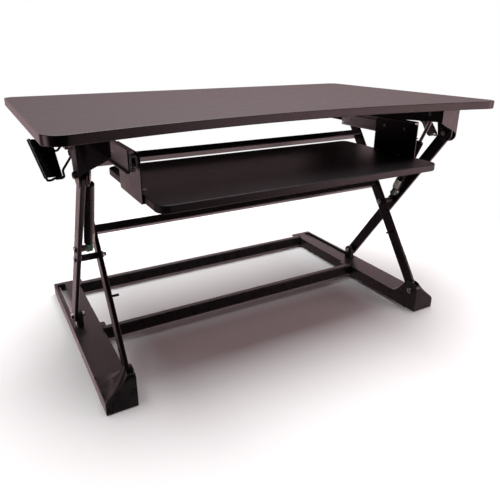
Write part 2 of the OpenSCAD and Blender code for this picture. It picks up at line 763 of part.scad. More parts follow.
module handle_wire(s) {
  on_side(s) color([0.1, 0.1, 0.1]) {
    wire_run([hinge_lo + 6 * hinge_dir, hinge_lo - 5.5 * hinge_dir, on_grip(-5.6, 14, grip_t / 2),
              on_grip(-5.6, 0, grip_t / 2), on_grip(10.5, 0, grip_t / 2),
              on_grip(15, -grip_drop, grip_t / 2), on_grip(outer_edge(-7), -grip_drop, grip_t / 2),
              on_grip(outer_edge(0), 0, grip_t / 2), on_grip(outer_edge(50), 50, grip_t / 2)]);
    wire_run([hinge_hi + 6 * hinge_dir, hinge_hi - 7 * hinge_dir, along(back_sleeve, -0.16),
              back_sleeve[1]]);
  }
}

at_origin() foot(-1);  // foot_left
at_origin() foot(1);  // foot_right
at_origin() foot_pads();
at_origin() base_tube(front_tube_y);  // front_base_tube
at_origin() base_tube(rear_tube_y);  // rear_base_tube
at_origin() color(bare_steel) both() slot_rail();  // slot_rails
at_origin() color(bare_steel) both() foot_pivot_bolt();  // foot_pivot_bolts
at_origin() inner_arm(-1);  // inner_arm_left
at_origin() inner_arm(1);  // inner_arm_right
at_origin() cross_tube(upper_tube_at, tube_h - 2, tube_d);  // upper_cross_tube
at_origin() cross_tube(lower_tube_at, tube_h - 10, tube_d + 1);  // lower_cross_tube
at_origin() color(bare_steel) both() centre_bolt();  // centre_bolts
at_origin() color(nylon) both() centre_spacer();  // centre_spacers
at_origin() color(nylon) both() stub_pin();  // stub_pins
at_origin() color(bare_steel) both() glide_pin();  // glide_pins
at_origin() outer_arm(-1);  // outer_arm_left
at_origin() outer_arm(1);  // outer_arm_right
at_origin() spring_stud(-1);  // spring_stud_left
at_origin() spring_stud(1);  // spring_stud_right
at_origin() slider_bolt(-1);  // slider_bolt_left
at_origin() slider_bolt(1);  // slider_bolt_right
at_origin() slider_block(-1);  // slider_block_left
at_origin() slider_block(1);  // slider_block_right
at_origin() glide(-1);  // glide_left
at_origin() glide(1);  // glide_right
at_origin() spring_cylinder(-1);  // spring_cylinder_left
at_origin() spring_cylinder(1);  // spring_cylinder_right
at_origin() spring_sleeve(-1);  // spring_sleeve_left
at_origin() spring_sleeve(1);  // spring_sleeve_right
at_origin() spring_end(-1);  // spring_end_left
at_origin() spring_end(1);  // spring_end_right
at_origin() spring_rod(-1);  // spring_rod_left
at_origin() spring_rod(1);  // spring_rod_right
at_origin() worktop_panel();
at_origin() worktop_edge();
at_origin() bracket(-1);  // bracket_left
at_origin() bracket(1);  // bracket_right
at_origin() rear_track(-1);  // rear_track_left
at_origin() rear_track(1);  // rear_track_right
at_origin() color(black_coat) both() slide_hanger();  // slide_hangers
at_origin() slide_outer(-1);  // slide_outer_left
at_origin() slide_outer(1);  // slide_outer_right
at_origin() color(bare_steel) both() top_pivot_bolt();  // top_pivot_bolts
at_origin() color(bare_steel) both() spring_pin();  // spring_pins
at_origin() color(bare_steel) both() bracket_bolt();  // bracket_bolts
at_origin() color(black_coat) both() handle_mount();  // handle_mounts
at_origin() panel_screws();
at_origin() slide_mid(-1);  // slide_mid_left
at_origin() slide_mid(1);  // slide_mid_right
at_origin() tray_panel();
at_origin() tray_bracket(-1);  // tray_bracket_left
at_origin() tray_bracket(1);  // tray_bracket_right
at_origin() slide_inner(-1);  // slide_inner_left
at_origin() slide_inner(1);  // slide_inner_right
at_origin() tray_screws();
at_origin() handle_grip(-1);  // handle_grip_left
at_origin() handle_grip(1);  // handle_grip_right
at_origin() handle_wire(-1);  // handle_wire_left
at_origin() handle_wire(1);  // handle_wire_right
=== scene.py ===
import json
import math

import bmesh
import bpy
from bpy.props import FloatProperty, FloatVectorProperty, PointerProperty
from mathutils import Matrix, Vector


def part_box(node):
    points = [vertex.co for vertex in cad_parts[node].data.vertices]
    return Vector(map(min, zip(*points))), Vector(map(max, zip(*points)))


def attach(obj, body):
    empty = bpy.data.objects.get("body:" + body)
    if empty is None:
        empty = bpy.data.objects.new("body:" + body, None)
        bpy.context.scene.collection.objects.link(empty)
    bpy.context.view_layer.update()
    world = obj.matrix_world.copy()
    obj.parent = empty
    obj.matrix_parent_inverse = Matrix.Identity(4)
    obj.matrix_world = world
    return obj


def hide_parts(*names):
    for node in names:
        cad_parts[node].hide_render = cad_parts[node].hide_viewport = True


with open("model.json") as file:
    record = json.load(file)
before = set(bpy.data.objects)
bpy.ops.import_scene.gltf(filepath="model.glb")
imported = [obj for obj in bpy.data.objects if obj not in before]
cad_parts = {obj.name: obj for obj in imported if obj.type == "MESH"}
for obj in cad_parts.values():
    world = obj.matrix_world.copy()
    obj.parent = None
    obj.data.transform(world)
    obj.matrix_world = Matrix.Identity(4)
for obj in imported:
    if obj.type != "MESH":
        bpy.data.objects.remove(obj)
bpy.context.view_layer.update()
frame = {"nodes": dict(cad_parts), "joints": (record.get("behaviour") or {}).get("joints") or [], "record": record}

bl_info = {
    "name": "Standing Desk Converter",
    "version": (1, 0, 0),
    "blender": (4, 5, 0),
    "location": "View3D > Sidebar > Converter",
    "description": "Dresses the converter's frame with finished pieces, materials and a studio",
    "category": "Object",
}

MM = 0.001
PIVOT = {j["name"]: Vector(j["pos_m"]) for j in frame["joints"] if "pos_m" in j}
FOOT = PIVOT["lift"]
CROSS = PIVOT["outer_right_cross"]
TOP = PIVOT["worktop_pivot"]
REAR = PIVOT["glide_right_pivot"]
SLOT = PIVOT["slider_right_pivot"]
ARM_ANGLE = math.atan2(REAR.z - FOOT.z, REAR.y - FOOT.y)
ARM_LENGTH = math.hypot(REAR.z - FOOT.z, REAR.y - FOOT.y)


def right_box(node):
    """Box of the right-hand solids of a node that has solids on both sides."""
    points = [v.co for v in frame["nodes"][node].data.vertices if v.co.x > 0]
    low = Vector([min(p[i] for p in points) for i in range(3)])
    high = Vector([max(p[i] for p in points) for i in range(3)])
    return low, high


# ---------------------------------------------------------------- settings
class ConverterSizes(bpy.types.PropertyGroup):
    """Sizes of the fine detail that the finished pieces add."""

    board_round: FloatProperty(
        name="Board rounding", description="Rounding of the boards' edges", default=2.2 * MM,
        unit="LENGTH")
    band_width: FloatProperty(
        name="Edge band", description="Width of the edge band seen from above", default=1.4 * MM,
        unit="LENGTH")
    tube_round: FloatProperty(
        name="Tube rounding", description="Corner radius of the square tubes", default=2.2 * MM,
        unit="LENGTH")
    cut_round: FloatProperty(
        name="Cut edge", description="Softening of cut sheet edges", default=0.35 * MM, unit="LENGTH")
    weld_radius: FloatProperty(
        name="Weld bead", description="Radius of the weld beads", default=1.6 * MM, unit="LENGTH")
    wire_bend: FloatProperty(
        name="Wire bend", description="Bend radius of the handles' wire", default=7 * MM, unit="LENGTH")


class ConverterFinish(bpy.types.PropertyGroup):
    """Colours and light."""

    coat: FloatVectorProperty(
        name="Powder coat", description="Colour of the coated steel", subtype="COLOR", size=3,
        default=(0.0013, 0.0010, 0.0014), min=0, max=1)
    board: FloatVectorProperty(
        name="Laminate", description="Colour of the boards", subtype="COLOR", size=3,
        default=(0.0032, 0.0026, 0.0030), min=0, max=1)
    zinc: FloatVectorProperty(
        name="Zinc", description="Colour of plated fasteners", subtype="COLOR", size=3,
        default=(0.60, 0.57, 0.57), min=0, max=1)
    # The spring-end colour is the ends' own green darkened partway by painted shade, towards the left end, which
    # lies in shade.
    spring_end: FloatVectorProperty(
        name="Spring end", description="Colour of the springs' lower ends", subtype="COLOR", size=3,
        default=(0.045, 0.14, 0.08), min=0, max=1)
    sleeve: FloatVectorProperty(
        name="Spring sleeve", description="Colour of the springs' sleeves", subtype="COLOR", size=3,
        default=(0.42, 0.42, 0.36), min=0, max=1)
    floor: FloatVectorProperty(
        name="Floor", description="Colour of the floor", subtype="COLOR", size=3,
        default=(0.93, 0.93, 0.93), min=0, max=1)
    tint: FloatVectorProperty(
        name="Back light colour", description="Colour of the light from behind", subtype="COLOR", size=3,
        default=(1.0, 0.71, 0.745), min=0, max=1)
    back: FloatProperty(
        name="Back light", description="Strength of the light from behind on the right", default=0.87,
        min=0, max=5)
    front: FloatProperty(
        name="Front light", description="Strength of the light from all other sides", default=0.015,
        min=0, max=5)
    side: FloatProperty(
        name="Right softbox", description="Power of the softbox in front on the right, in watts", default=9.0,
        min=0, max=200)
    left: FloatProperty(
        name="Left softbox", description="Power of the softbox on the left, in watts", default=4.5,
        min=0, max=200)
    overhead: FloatProperty(
        name="Overhead", description="Power of the overhead light, in watts", default=150, min=0, max=500)


def sizes():
    """The add-on's sizes in this scene."""
    return bpy.context.scene.converter_sizes


def finish():
    """The add-on's colours and light in this scene."""
    return bpy.context.scene.converter_finish


# ---------------------------------------------------------------- modelling
def focus(piece=None):
    """Leaves edit mode and selects only this piece."""
    if bpy.context.object and bpy.context.object.mode != "OBJECT":
        bpy.ops.object.mode_set(mode="OBJECT")
    bpy.ops.object.select_all(action="DESELECT")
    if piece:
        piece.select_set(True)
        bpy.context.view_layer.objects.active = piece
    return piece


def settle(piece):
    """Moves a piece's place, turn and size into its mesh."""
    focus(piece)
    bpy.ops.object.transform_apply(location=True, rotation=True, scale=True)
    return piece


def named(name):
    """Names the new primitive and settles it."""
    piece = bpy.context.object
    piece.name = piece.data.name = name
    return settle(piece)


def block(name, low, high):
    """A box between two corners."""
    low, high = Vector(low), Vector(high)
    focus()
    bpy.ops.mesh.primitive_cube_add(size=1, location=(low + high) / 2)
    bpy.context.object.scale = high - low
    return named(name)


def drum(name, start, end, radius, sides=32, tip=None):
    """A round bar from start to end, or a cone where tip is its radius at the end."""
    start, end = Vector(start), Vector(end)
    way = end - start
    focus()
    bpy.ops.mesh.primitive_cone_add(
        vertices=sides, radius1=radius, radius2=radius if tip is None else tip, depth=way.length,
        location=(start + end) / 2, rotation=way.to_track_quat("Z", "Y").to_euler())
    return named(name)


def pick(piece, test, kind="EDGE"):
    """Edit mode, with only what the test accepts selected."""
    focus(piece)
    bpy.ops.object.mode_set(mode="EDIT")
    bpy.ops.mesh.select_mode(type=kind)
    bpy.ops.mesh.select_all(action="DESELECT")
    mesh = bmesh.from_edit_mesh(piece.data)
    for item in {"VERT": mesh.verts, "EDGE": mesh.edges, "FACE": mesh.faces}[kind]:
        if test(item):
            item.select_set(True)
    mesh.select_flush_mode()
    bmesh.update_edit_mesh(piece.data)


def leave():
    bpy.ops.object.mode_set(mode="OBJECT")


def along(axis):
    """Test for straight edges along an axis."""
    def test(edge):
        way = edge.verts[1].co - edge.verts[0].co
        return abs(way[axis]) > 0.99 * way.length
    return test


def level(edge):
    """Test for edges that lie flat."""
    return abs(edge.verts[0].co.z - edge.verts[1].co.z) < 1e-6


def middle(item):
    """Mean of an edge's or a face's corners."""
    return sum((v.co for v in item.verts), Vector()) / len(item.verts)


def round_edges(piece, test, radius, steps=4):
    """Bevels the edges that the test accepts."""
    pick(piece, test)
    bpy.ops.mesh.bevel(offset=radius, segments=steps, affect="EDGES", clamp_overlap=True)
    leave()
    return piece


def use_modifier(piece, kind, **values):
    """Adds a modifier with these values and applies it."""
    focus(piece)
    bpy.ops.object.modifier_add(type=kind)
    modifier = piece.modifiers[-1]
    for key, value in values.items():
        setattr(modifier, key, value)
    bpy.ops.object.modifier_apply(modifier=modifier.name)
    return piece


def combine(piece, other, how="DIFFERENCE"):
    """Cuts, adds or intersects another piece, which is used up."""
    use_modifier(piece, "BOOLEAN", operation=how, object=other, solver="EXACT")
    bpy.data.objects.remove(other, do_unlink=True)
    return piece


def join(name, parts):
    """Makes one piece of these, without merging their shells."""
    focus(parts[0])
    for part in parts:
        part.select_set(True)
    if len(parts) > 1:
        bpy.ops.object.join()
    piece = bpy.context.object
    piece.name = piece.data.name = name
    return piece


def outward(piece):
    """Turns all faces outwards."""
    pick(piece, lambda f: True, "FACE")
    bpy.ops.mesh.normals_make_consistent(inside=False)
    leave()
    return piece


def soften(piece, width, steps=2, angle=32):
    """Bevels every sharp edge and shades the piece smooth between sharp turns."""
    if width:
        use_modifier(piece, "BEVEL", width=width, segments=steps, limit_method="ANGLE",
                     angle_limit=math.radians(angle), use_clamp_overlap=True)
    focus(piece)
    bpy.ops.object.shade_smooth_by_angle(angle=math.radians(48))
    use_modifier(piece, "WEIGHTED_NORMAL", keep_sharp=True, weight=80)
    return piece


def turned(outline, radii, steps=6):
    """The closed outline with its corners rounded by these radii."""
    points, count = [], len(outline)
    for i, corner in enumerate(outline):
        radius = radii[i] if hasattr(radii, "__len__") else radii
        here = Vector(corner)
        back = (Vector(outline[i - 1]) - here).normalized()
        on = (Vector(outline[(i + 1) % count]) - here).normalized()
        if not radius:
            points.append(tuple(here))
            continue
        half = back.angle(on) / 2
        centre = here + (back + on).normalized() * (radius / math.sin(half))
        first = here + back * (radius / math.tan(half)) - centre
        last = here + on * (radius / math.tan(half)) - centre
        a = math.atan2(first.y, first.x)
        sweep = (math.atan2(last.y, last.x) - a + math.pi) % (2 * math.pi) - math.pi
        for k in range(steps + 1):
            t = a + sweep * k / steps
            points.append((centre.x + radius * math.cos(t), centre.y + radius * math.sin(t)))
    return points


def arc(centre, radius, start, end, steps=12):
    """Points on an arc, with its angles in degrees."""
    return [(centre[0] + radius * math.cos(math.radians(start + (end - start) * k / steps)),
             centre[1] + radius * math.sin(math.radians(start + (end - start) * k / steps)))
            for k in range(steps + 1)]


def sheet(name, outline, start, end, axis=0):
    """A plate with this outline, extruded along an axis. The outline's two values are
    the other two axes in order."""
    focus()
    bpy.ops.mesh.primitive_circle_add(vertices=len(outline), fill_type="NGON")
    piece = named(name)
    for vertex, (a, b) in zip(piece.data.vertices, outline):
        vertex.co = [(start, a, b), (a, start, b), (a, b, start)][axis]
    pick(piece, lambda f: True, "FACE")
    move = [0, 0, 0]
    move[axis] = end - start
    bpy.ops.mesh.extrude_region_move(TRANSFORM_OT_translate={"value": move})
    leave()
    return outward(piece)


def bored(piece, centre, radius, length=0.1, axis=0, sides=32):
    """Drills a round hole along an axis."""
    reach = Vector([0, 0, 0])
    reach[axis] = length / 2
    return combine(piece, drum("bore", Vector(centre) - reach, Vector(centre) + reach, radius, sides))


def bend_path(points, radius, steps=6):
    """The path with its inner corners rounded."""
    path = [Vector(points[0])]
    for before, here, after in zip(points, points[1:], points[2:]):
        before, here, after = Vector(before), Vector(here), Vector(after)
        back, on = before - here, after - here
        reach = min(radius, back.length * 0.48, on.length * 0.48)
        start, end = here + back.normalized() * reach, here + on.normalized() * reach
        for k in range(steps + 1):
            t = k / steps
            path.append(start * (1 - t) ** 2 + here * 2 * t * (1 - t) + end * t ** 2)
    return path + [Vector(points[-1])]


def wire(name, points, radius, bend=0.0, sides=3):
    """A round wire along a path, with closed ends."""
    path = bend_path(points, bend) if bend else [Vector(p) for p in points]
    focus()
    bpy.ops.curve.primitive_nurbs_path_add()
    curve = bpy.context.object
    settle(curve)
    curve.data.splines.clear()
    spline = curve.data.splines.new("POLY")
    spline.points.add(len(path) - 1)
    for point, place in zip(spline.points, path):
        point.co = (*place, 1)
    curve.data.bevel_depth = radius
    curve.data.bevel_resolution = sides
    curve.data.use_fill_caps = True
    bpy.ops.object.convert(target="MESH")
    return outward(named(name))


def swing(piece, centre, angle):
    """Turns a piece about a line along X through the centre."""
    settle(piece)
    focus(piece)
    piece.matrix_world = (Matrix.Translation(centre) @ Matrix.Rotation(angle, 4, "X")
                          @ Matrix.Translation(-Vector(centre)) @ piece.matrix_world)
    return settle(piece)


def twin(piece, name):
    """A mirror-image copy on the left-hand side."""
    focus(piece)
    bpy.ops.object.duplicate()
    other = bpy.context.object
    other.name = other.data.name = name
    other.scale.x = -1
    settle(other)
    return outward(other)


def dress(piece, body, material, *nodes, slot=None):
    """Gives a finished piece its body and material, and hides the nodes that it replaces. The slot is not used."""
    piece.data.materials.clear()
    piece.data.materials.append(MATERIALS[material])
    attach(piece, body)
    if nodes:
        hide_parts(*nodes)
    return piece


def dress_pair(piece, stem, bodies, material, width, steps=2):
    """Finishes the right-hand piece and its mirror image. The bodies' name may hold {side}."""
    piece.name = piece.data.name = f"{stem}_right"
    left = twin(piece, f"{stem}_left")
    for side, each in (("right", piece), ("left", left)):
        soften(each, width, steps)
        dress(each, bodies.format(side=side), material, f"{stem}_{side}")


def hex_bolt(name, base, way, across, height, socket=True):
    """A round-topped bolt head that stands on base along way, with a hexagon socket."""
    base, way = Vector(base), Vector(way).normalized()
    head = drum(name, base, base + way * height, across / 2, 32)
    far = base + way * height
    round_edges(head, lambda e: all((v.co - far).dot(way) > -1e-6 for v in e.verts), height * 0.45, 3)
    if socket:
        combine(head, drum("socket", far - way * height * 0.55, far + way * height, across * 0.24, 6))
    return head


def nut(name, base, way, across, height):
    """A hexagon nut with a nylon collar, and the end of its bolt."""
    base, way = Vector(base), Vector(way).normalized()
    body = drum(name, base, base + way * height * 0.75, across / 2, 6)
    chamfer = drum("chamfer", base - way * height * 0.1, base + way * height, across * 0.56,
                   tip=across * 0.40)
    combine(body, chamfer, "INTERSECT")
    collar = drum("collar", base + way * height * 0.6, base + way * height, across * 0.36, 24)
    stud = drum("stud", base, base + way * height * 1.12, across * 0.24, 20)
    return join(name, [body, collar, stud])


def weld(points, radius):
    """A wavy weld bead along a path."""
    path, out = [Vector(p) for p in points], []
    for a, b in zip(path, path[1:]):
        count = max(2, int((b - a).length / (radius * 1.1)))
        out += [a.lerp(b, k / count) for k in range(count)]
    bead = wire("bead", out + [path[-1]], radius, sides=1)
    for i, vertex in enumerate(bead.data.vertices):
        vertex.co += vertex.normal * radius * 0.16 * math.sin(i * 2.4)
    return bead


# ---------------------------------------------------------------- materials
MATERIALS = {}
SLOT_OF = {s["node"]: s["material_slot"] for s in frame["record"]["subparts"]}


def effect(name, inputs, outputs):
    """A shader node group with these sockets: (name, type, default) in, (name, type) out."""
    group = bpy.data.node_groups.new(name, "ShaderNodeTree")
    for label, kind, value in inputs:
        socket = group.interface.new_socket(label, in_out="INPUT", socket_type="NodeSocket" + kind)
        if value is not None:
            socket.default_value = value
    for label, kind in outputs:
        group.interface.new_socket(label, in_out="OUTPUT", socket_type="NodeSocket" + kind)
    ends = group.nodes.new("NodeGroupInput"), group.nodes.new("NodeGroupOutput")
    return group, ends[0].outputs, ends[1].inputs


def node(tree, kind, links=(), **values):
    """Adds a node, sets its properties and inputs, and links (input, output) pairs."""
    new = tree.nodes.new("ShaderNode" + kind)
    for key, value in values.items():
        if hasattr(new, key):
            setattr(new, key, value)
        else:
            new.inputs[key.replace("_", " ")].default_value = value
    for label, output in links:
        tree.links.new(output, new.inputs[label])
    return new


def surface_effect():
    """Patches of colour, fine grain, worn edges, and the bump and roughness that go with them."""
    group, given, out = effect("Surface", [
        ("Color", "Color", None), ("Worn Color", "Color", None), ("Patches", "Float", 0.2),
        ("Grain Size", "Float", 900.0), ("Grain Stretch", "Vector", (1, 1, 1)), ("Grain", "Float", 0.1),
        ("Roughness", "Float", 0.4), ("Spread", "Float", 0.08), ("Depth", "Float", 0.02),
        ("Wear", "Float", 0.3)],
        [("Color", "Color"), ("Roughness", "Float"), ("Normal", "Vector"), ("Wear", "Float")])
    place = node(group, "TexCoord").outputs["Object"]
    stretch = node(group, "VectorMath", [(0, place), (1, given["Grain Stretch"])], operation="MULTIPLY")
    patches = node(group, "TexNoise", [("Vector", place)], Scale=14.0, Detail=4.0, Roughness=0.6)
    grain = node(group, "TexNoise", [("Vector", stretch.outputs[0]), ("Scale", given["Grain Size"])],
                 Detail=3.0, Roughness=0.55)
    smudge = node(group, "TexNoise", [("Vector", place)], Scale=46.0, Detail=5.0, Roughness=0.7)
    lift = node(group, "MapRange", [("Value", patches.outputs[0])], From_Min=0.3, From_Max=0.7,
                To_Min=-0.5, To_Max=0.5)
    fine = node(group, "MapRange", [("Value", grain.outputs[0])], From_Min=0.3, From_Max=0.7,
                To_Min=-0.5, To_Max=0.5)
    broad = node(group, "Math", [(0, lift.outputs[0]), (1, given["Patches"])], operation="MULTIPLY")
    speck = node(group, "Math", [(0, fine.outputs[0]), (1, given["Grain"])], operation="MULTIPLY")
    both = node(group, "Math", [(0, broad.outputs[0]), (1, speck.outputs[0])], operation="ADD")
    gain = node(group, "Math", [(0, both.outputs[0])], operation="ADD")
    gain.inputs[1].default_value = 1.0
    tone = node(group, "VectorMath", [(0, given["Color"]), ("Scale", gain.outputs[0])], operation="SCALE")
    edge = node(group, "NewGeometry").outputs["Pointiness"]
    sharp = node(group, "MapRange", [("Value", edge)], From_Min=0.53, From_Max=0.62)
    rub = node(group, "Math", [(0, sharp.outputs[0]), (1, smudge.outputs[0])], operation="MULTIPLY")
    wear = node(group, "Math", [(0, rub.outputs[0]), (1, given["Wear"])], operation="MULTIPLY",
                use_clamp=True)
    paint = node(group, "Mix", data_type="RGBA")
    for socket, source in ((0, wear.outputs[0]), (6, tone.outputs[0]), (7, given["Worn Color"])):
        group.links.new(source, paint.inputs[socket])
    dull = node(group, "MapRange", [("Value", smudge.outputs[0])], From_Min=0.3, From_Max=0.7,
                To_Min=-0.5, To_Max=0.5)
    rough = node(group, "Math", [(0, dull.outputs[0]), (1, given["Spread"]), (2, given["Roughness"])],
                 operation="MULTIPLY_ADD", use_clamp=True)
    bump = node(group, "Bump", [("Strength", given["Depth"]), ("Height", grain.outputs[0])], Distance=0.001)
    for label, source in (("Color", paint.outputs[2]), ("Roughness", rough.outputs[0]),
                          ("Normal", bump.outputs[0]), ("Wear", wear.outputs[0])):
        group.links.new(source, out[label])
    return group


def material(name, group, color, worn, shader, **settings):
    """A material whose Principled shader takes colour, roughness and normal from the surface effect."""
    made = bpy.data.materials.new(name)
    made.use_nodes = True
    tree = made.node_tree
    principled = tree.nodes["Principled BSDF"]
    surface = tree.nodes.new("ShaderNodeGroup")
    surface.node_tree = group
    surface.inputs["Color"].default_value = (*color, 1)
    surface.inputs["Worn Color"].default_value = (*worn, 1)
    for key, value in settings.items():
        surface.inputs[key.replace("_", " ")].default_value = value
    for label, target in (("Color", "Base Color"), ("Roughness", "Roughness"), ("Normal", "Normal")):
        tree.links.new(surface.outputs[label], principled.inputs[target])
    for key, value in shader.items():
        principled.inputs[key].default_value = value
    MATERIALS[name] = made
    return made


def make_materials():
    look = finish()
    group = surface_effect()
    coat, board, zinc = tuple(look.coat), tuple(look.board), tuple(look.zinc)
    tint = (1.0, 0.92, 0.94, 1.0)
    paint = {"Specular IOR Level": 0.5, "Specular Tint": tint}
    metal = {"Metallic": 1.0}
    laminate = {"Specular IOR Level": 0.45, "Specular Tint": tint}
    material("worktop", group, board, board, laminate,
             Patches=0.10, Grain_Size=420.0, Grain_Stretch=(0.10, 1.6, 1), Grain=0.16,
             Roughness=0.46, Spread=0.05, Depth=0.10, Wear=0.0)
    material("edge", group, [c * 0.5 for c in board], [c * 2 for c in board], paint,
             Patches=0.08, Grain_Size=700.0, Grain=0.08, Roughness=0.29, Spread=0.05, Depth=0.04, Wear=0.2)
    material("frame", group, coat, (0.10, 0.095, 0.095), paint,
             Patches=0.14, Grain_Size=1300.0, Grain=0.12, Roughness=0.29, Spread=0.07, Depth=0.14, Wear=0.28)
    material("steel", group, zinc, zinc, metal,
             Patches=0.20, Grain_Size=900.0, Grain=0.15, Roughness=0.34, Spread=0.12, Depth=0.06, Wear=0.0)
    material("slides", group, [c * 1.05 for c in zinc], zinc, {"Metallic": 0.35},
             Patches=0.12, Grain_Size=900.0, Grain_Stretch=(1, 0.05, 1), Grain=0.3,
             Roughness=0.46, Spread=0.1, Depth=0.06, Wear=0.0)
    material("rail", group, [c * 0.9 for c in zinc], zinc, metal,
             Patches=0.2, Grain_Size=700.0, Grain_Stretch=(1, 0.08, 1), Grain=0.2,
             Roughness=0.42, Spread=0.1, Depth=0.05, Wear=0.0)
    material("nylon", group, (0.007, 0.006, 0.0065), (0.02, 0.02, 0.02), paint,
             Patches=0.15, Grain_Size=600.0, Grain=0.1, Roughness=0.5, Spread=0.1, Depth=0.06, Wear=0.2)
    material("pad", group, (0.010, 0.009, 0.009), (0.02, 0.02, 0.02), {"Specular IOR Level": 0.3},
             Patches=0.2, Grain_Size=800.0, Grain=0.2, Roughness=0.8, Spread=0.1, Depth=0.2, Wear=0.1)
    material("cylinder", group, (0.006, 0.005, 0.0055), (0.03, 0.03, 0.03), paint,
             Patches=0.1, Grain_Size=900.0, Grain=0.05, Roughness=0.26, Spread=0.06, Depth=0.03, Wear=0.1)
    material("sleeve", group, tuple(look.sleeve), tuple(look.sleeve), {"Specular IOR Level": 0.4},
             Patches=0.12, Grain_Size=500.0, Grain=0.08, Roughness=0.5, Spread=0.08, Depth=0.04, Wear=0.0)
    # Base colour is the ends' own green with painted shade in it, darkened partway towards the shaded left end.
    material("end", group, tuple(look.spring_end), (0.3, 0.4, 0.34), paint,
             Patches=0.2, Grain_Size=500.0, Grain=0.1, Roughness=0.42, Spread=0.1, Depth=0.05, Wear=0.3)
    material("rod", group, (0.62, 0.60, 0.58), (0.62, 0.60, 0.58), metal,
             Patches=0.08, Grain_Size=600.0, Grain_Stretch=(1, 1, 0.1), Grain=0.06,
             Roughness=0.2, Spread=0.06, Depth=0.01, Wear=0.0)
    material("wire", group, coat, (0.12, 0.11, 0.11), paint,
             Patches=0.1, Grain_Size=900.0, Grain=0.1, Roughness=0.34, Spread=0.06, Depth=0.06, Wear=0.4)


# ---------------------------------------------------------------- pieces
def board_outline(low, high, front_radius, back_radius, dip=0.0):
    """Plan of a board with round corners; its front edge curves back by dip in the middle."""
    half = high.x
    corner = (half - front_radius, low.y + front_radius)
    right = arc((half - back_radius, high.y - back_radius), back_radius, 90, 0)
    if dip:
        big = (corner[0] ** 2 + (dip - front_radius) ** 2 - front_radius ** 2) / (2 * dip)
        swing_to = math.degrees(math.asin(corner[0] / (big + front_radius)))
        right += arc(corner, front_radius, 0, -90 - swing_to, 20)
        right += arc((0, low.y + dip - big), big, 90 - swing_to, 90, 40)[1:-1]
    else:
        right += arc(corner, front_radius, 0, -90, 14)
    left = [(-x, y) for x, y in reversed(right)]
    return right + ([(0.0, low.y + dip)] if dip else []) + left


def build_boards():
    low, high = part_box("worktop_edge")
    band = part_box("worktop_panel")[0].x - low.x
    front_radius, back_radius, dip = 29 * MM, 25 * MM, 53 * MM
    outline = board_outline(low, high, front_radius, back_radius, dip)
    inset = Vector((band, band, 0))
    core = board_outline(low + inset, high - inset, front_radius - band, back_radius - band, dip)
    panel = sheet("worktop_board", core, low.z, high.z, axis=2)
    edge = sheet("worktop_band", outline, low.z, high.z, axis=2)
    round_edges(edge, level, sizes().board_round * 0.5, 3)
    combine(edge, sheet("core", core, low.z - 0.01, high.z + 0.01, axis=2))
    soften(edge, 0)
    dress(edge, "worktop", "edge", "worktop_edge")
    soften(panel, 0.15 * MM, 1)
    dress(panel, "worktop", "worktop", "worktop_panel")
    low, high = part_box("tray_panel")
    tray = sheet("tray_board", board_outline(low, high, 22 * MM, 18 * MM), low.z, high.z, axis=2)
    round_edges(tray, level, sizes().board_round, 4)
    soften(tray, 0)
    dress(tray, "tray", "worktop", "tray_panel")


def corner_drop(distance, radius):
    """How far a rounded edge lies below the flat, at this distance from its end."""
    if distance >= radius:
        return 0.0
    return radius - math.sqrt(max(0.0, radius * radius - (radius - distance) ** 2))


def nose_form(inner, outer, low, length, flat_top):
    """The foot's front end, whose top sweeps up to the hump that holds the arm."""
    hump_width, hump_radius = 14.5 * MM, 25 * MM
    crest = hump_radius * 0.70
    flank_reach = 40 * MM
    front_round, side_round = 3.5 * MM, 5 * MM
    width = outer - inner
    focus()
    bpy.ops.mesh.primitive_grid_add(x_subdivisions=40, y_subdivisions=46, size=1)
    form = named("nose")
    for vertex in form.data.vertices:
        x, y = (vertex.co.x + 0.5) * width, (vertex.co.y + 0.5) * length
        ridge = y + low.y - FOOT.y
        if ridge < crest:
            top = FOOT.z + math.sqrt(hump_radius * hump_radius - ridge * ridge) - flat_top
        else:
            share = (ridge - crest) / (length + low.y - FOOT.y - crest)
            start = FOOT.z + math.sqrt(hump_radius * hump_radius - crest * crest) - flat_top
            top = start * (1 - share) ** 2 * (1 + 0.35 * share)
        fall = max(0.0, (width - x) / (width - hump_width)) if x > hump_width else 1.0
        fall = fall ** (1.0 + 1.5 * min(1.0, y / flank_reach))
        front_drop = corner_drop(y, front_round) * 0.6
        side_drop = corner_drop(width - x, side_round) * 0.9
        vertex.co = Vector((inner + x, low.y + y, flat_top + top * fall - front_drop - side_drop))
    pick(form, lambda f: True, "FACE")
    bpy.ops.mesh.extrude_region_move(TRANSFORM_OT_translate={"value": (0, 0, -0.2)})
    leave()
    for vertex in form.data.vertices:
        if vertex.co.z < low.z:
            vertex.co.z = low.z
    return outward(form)


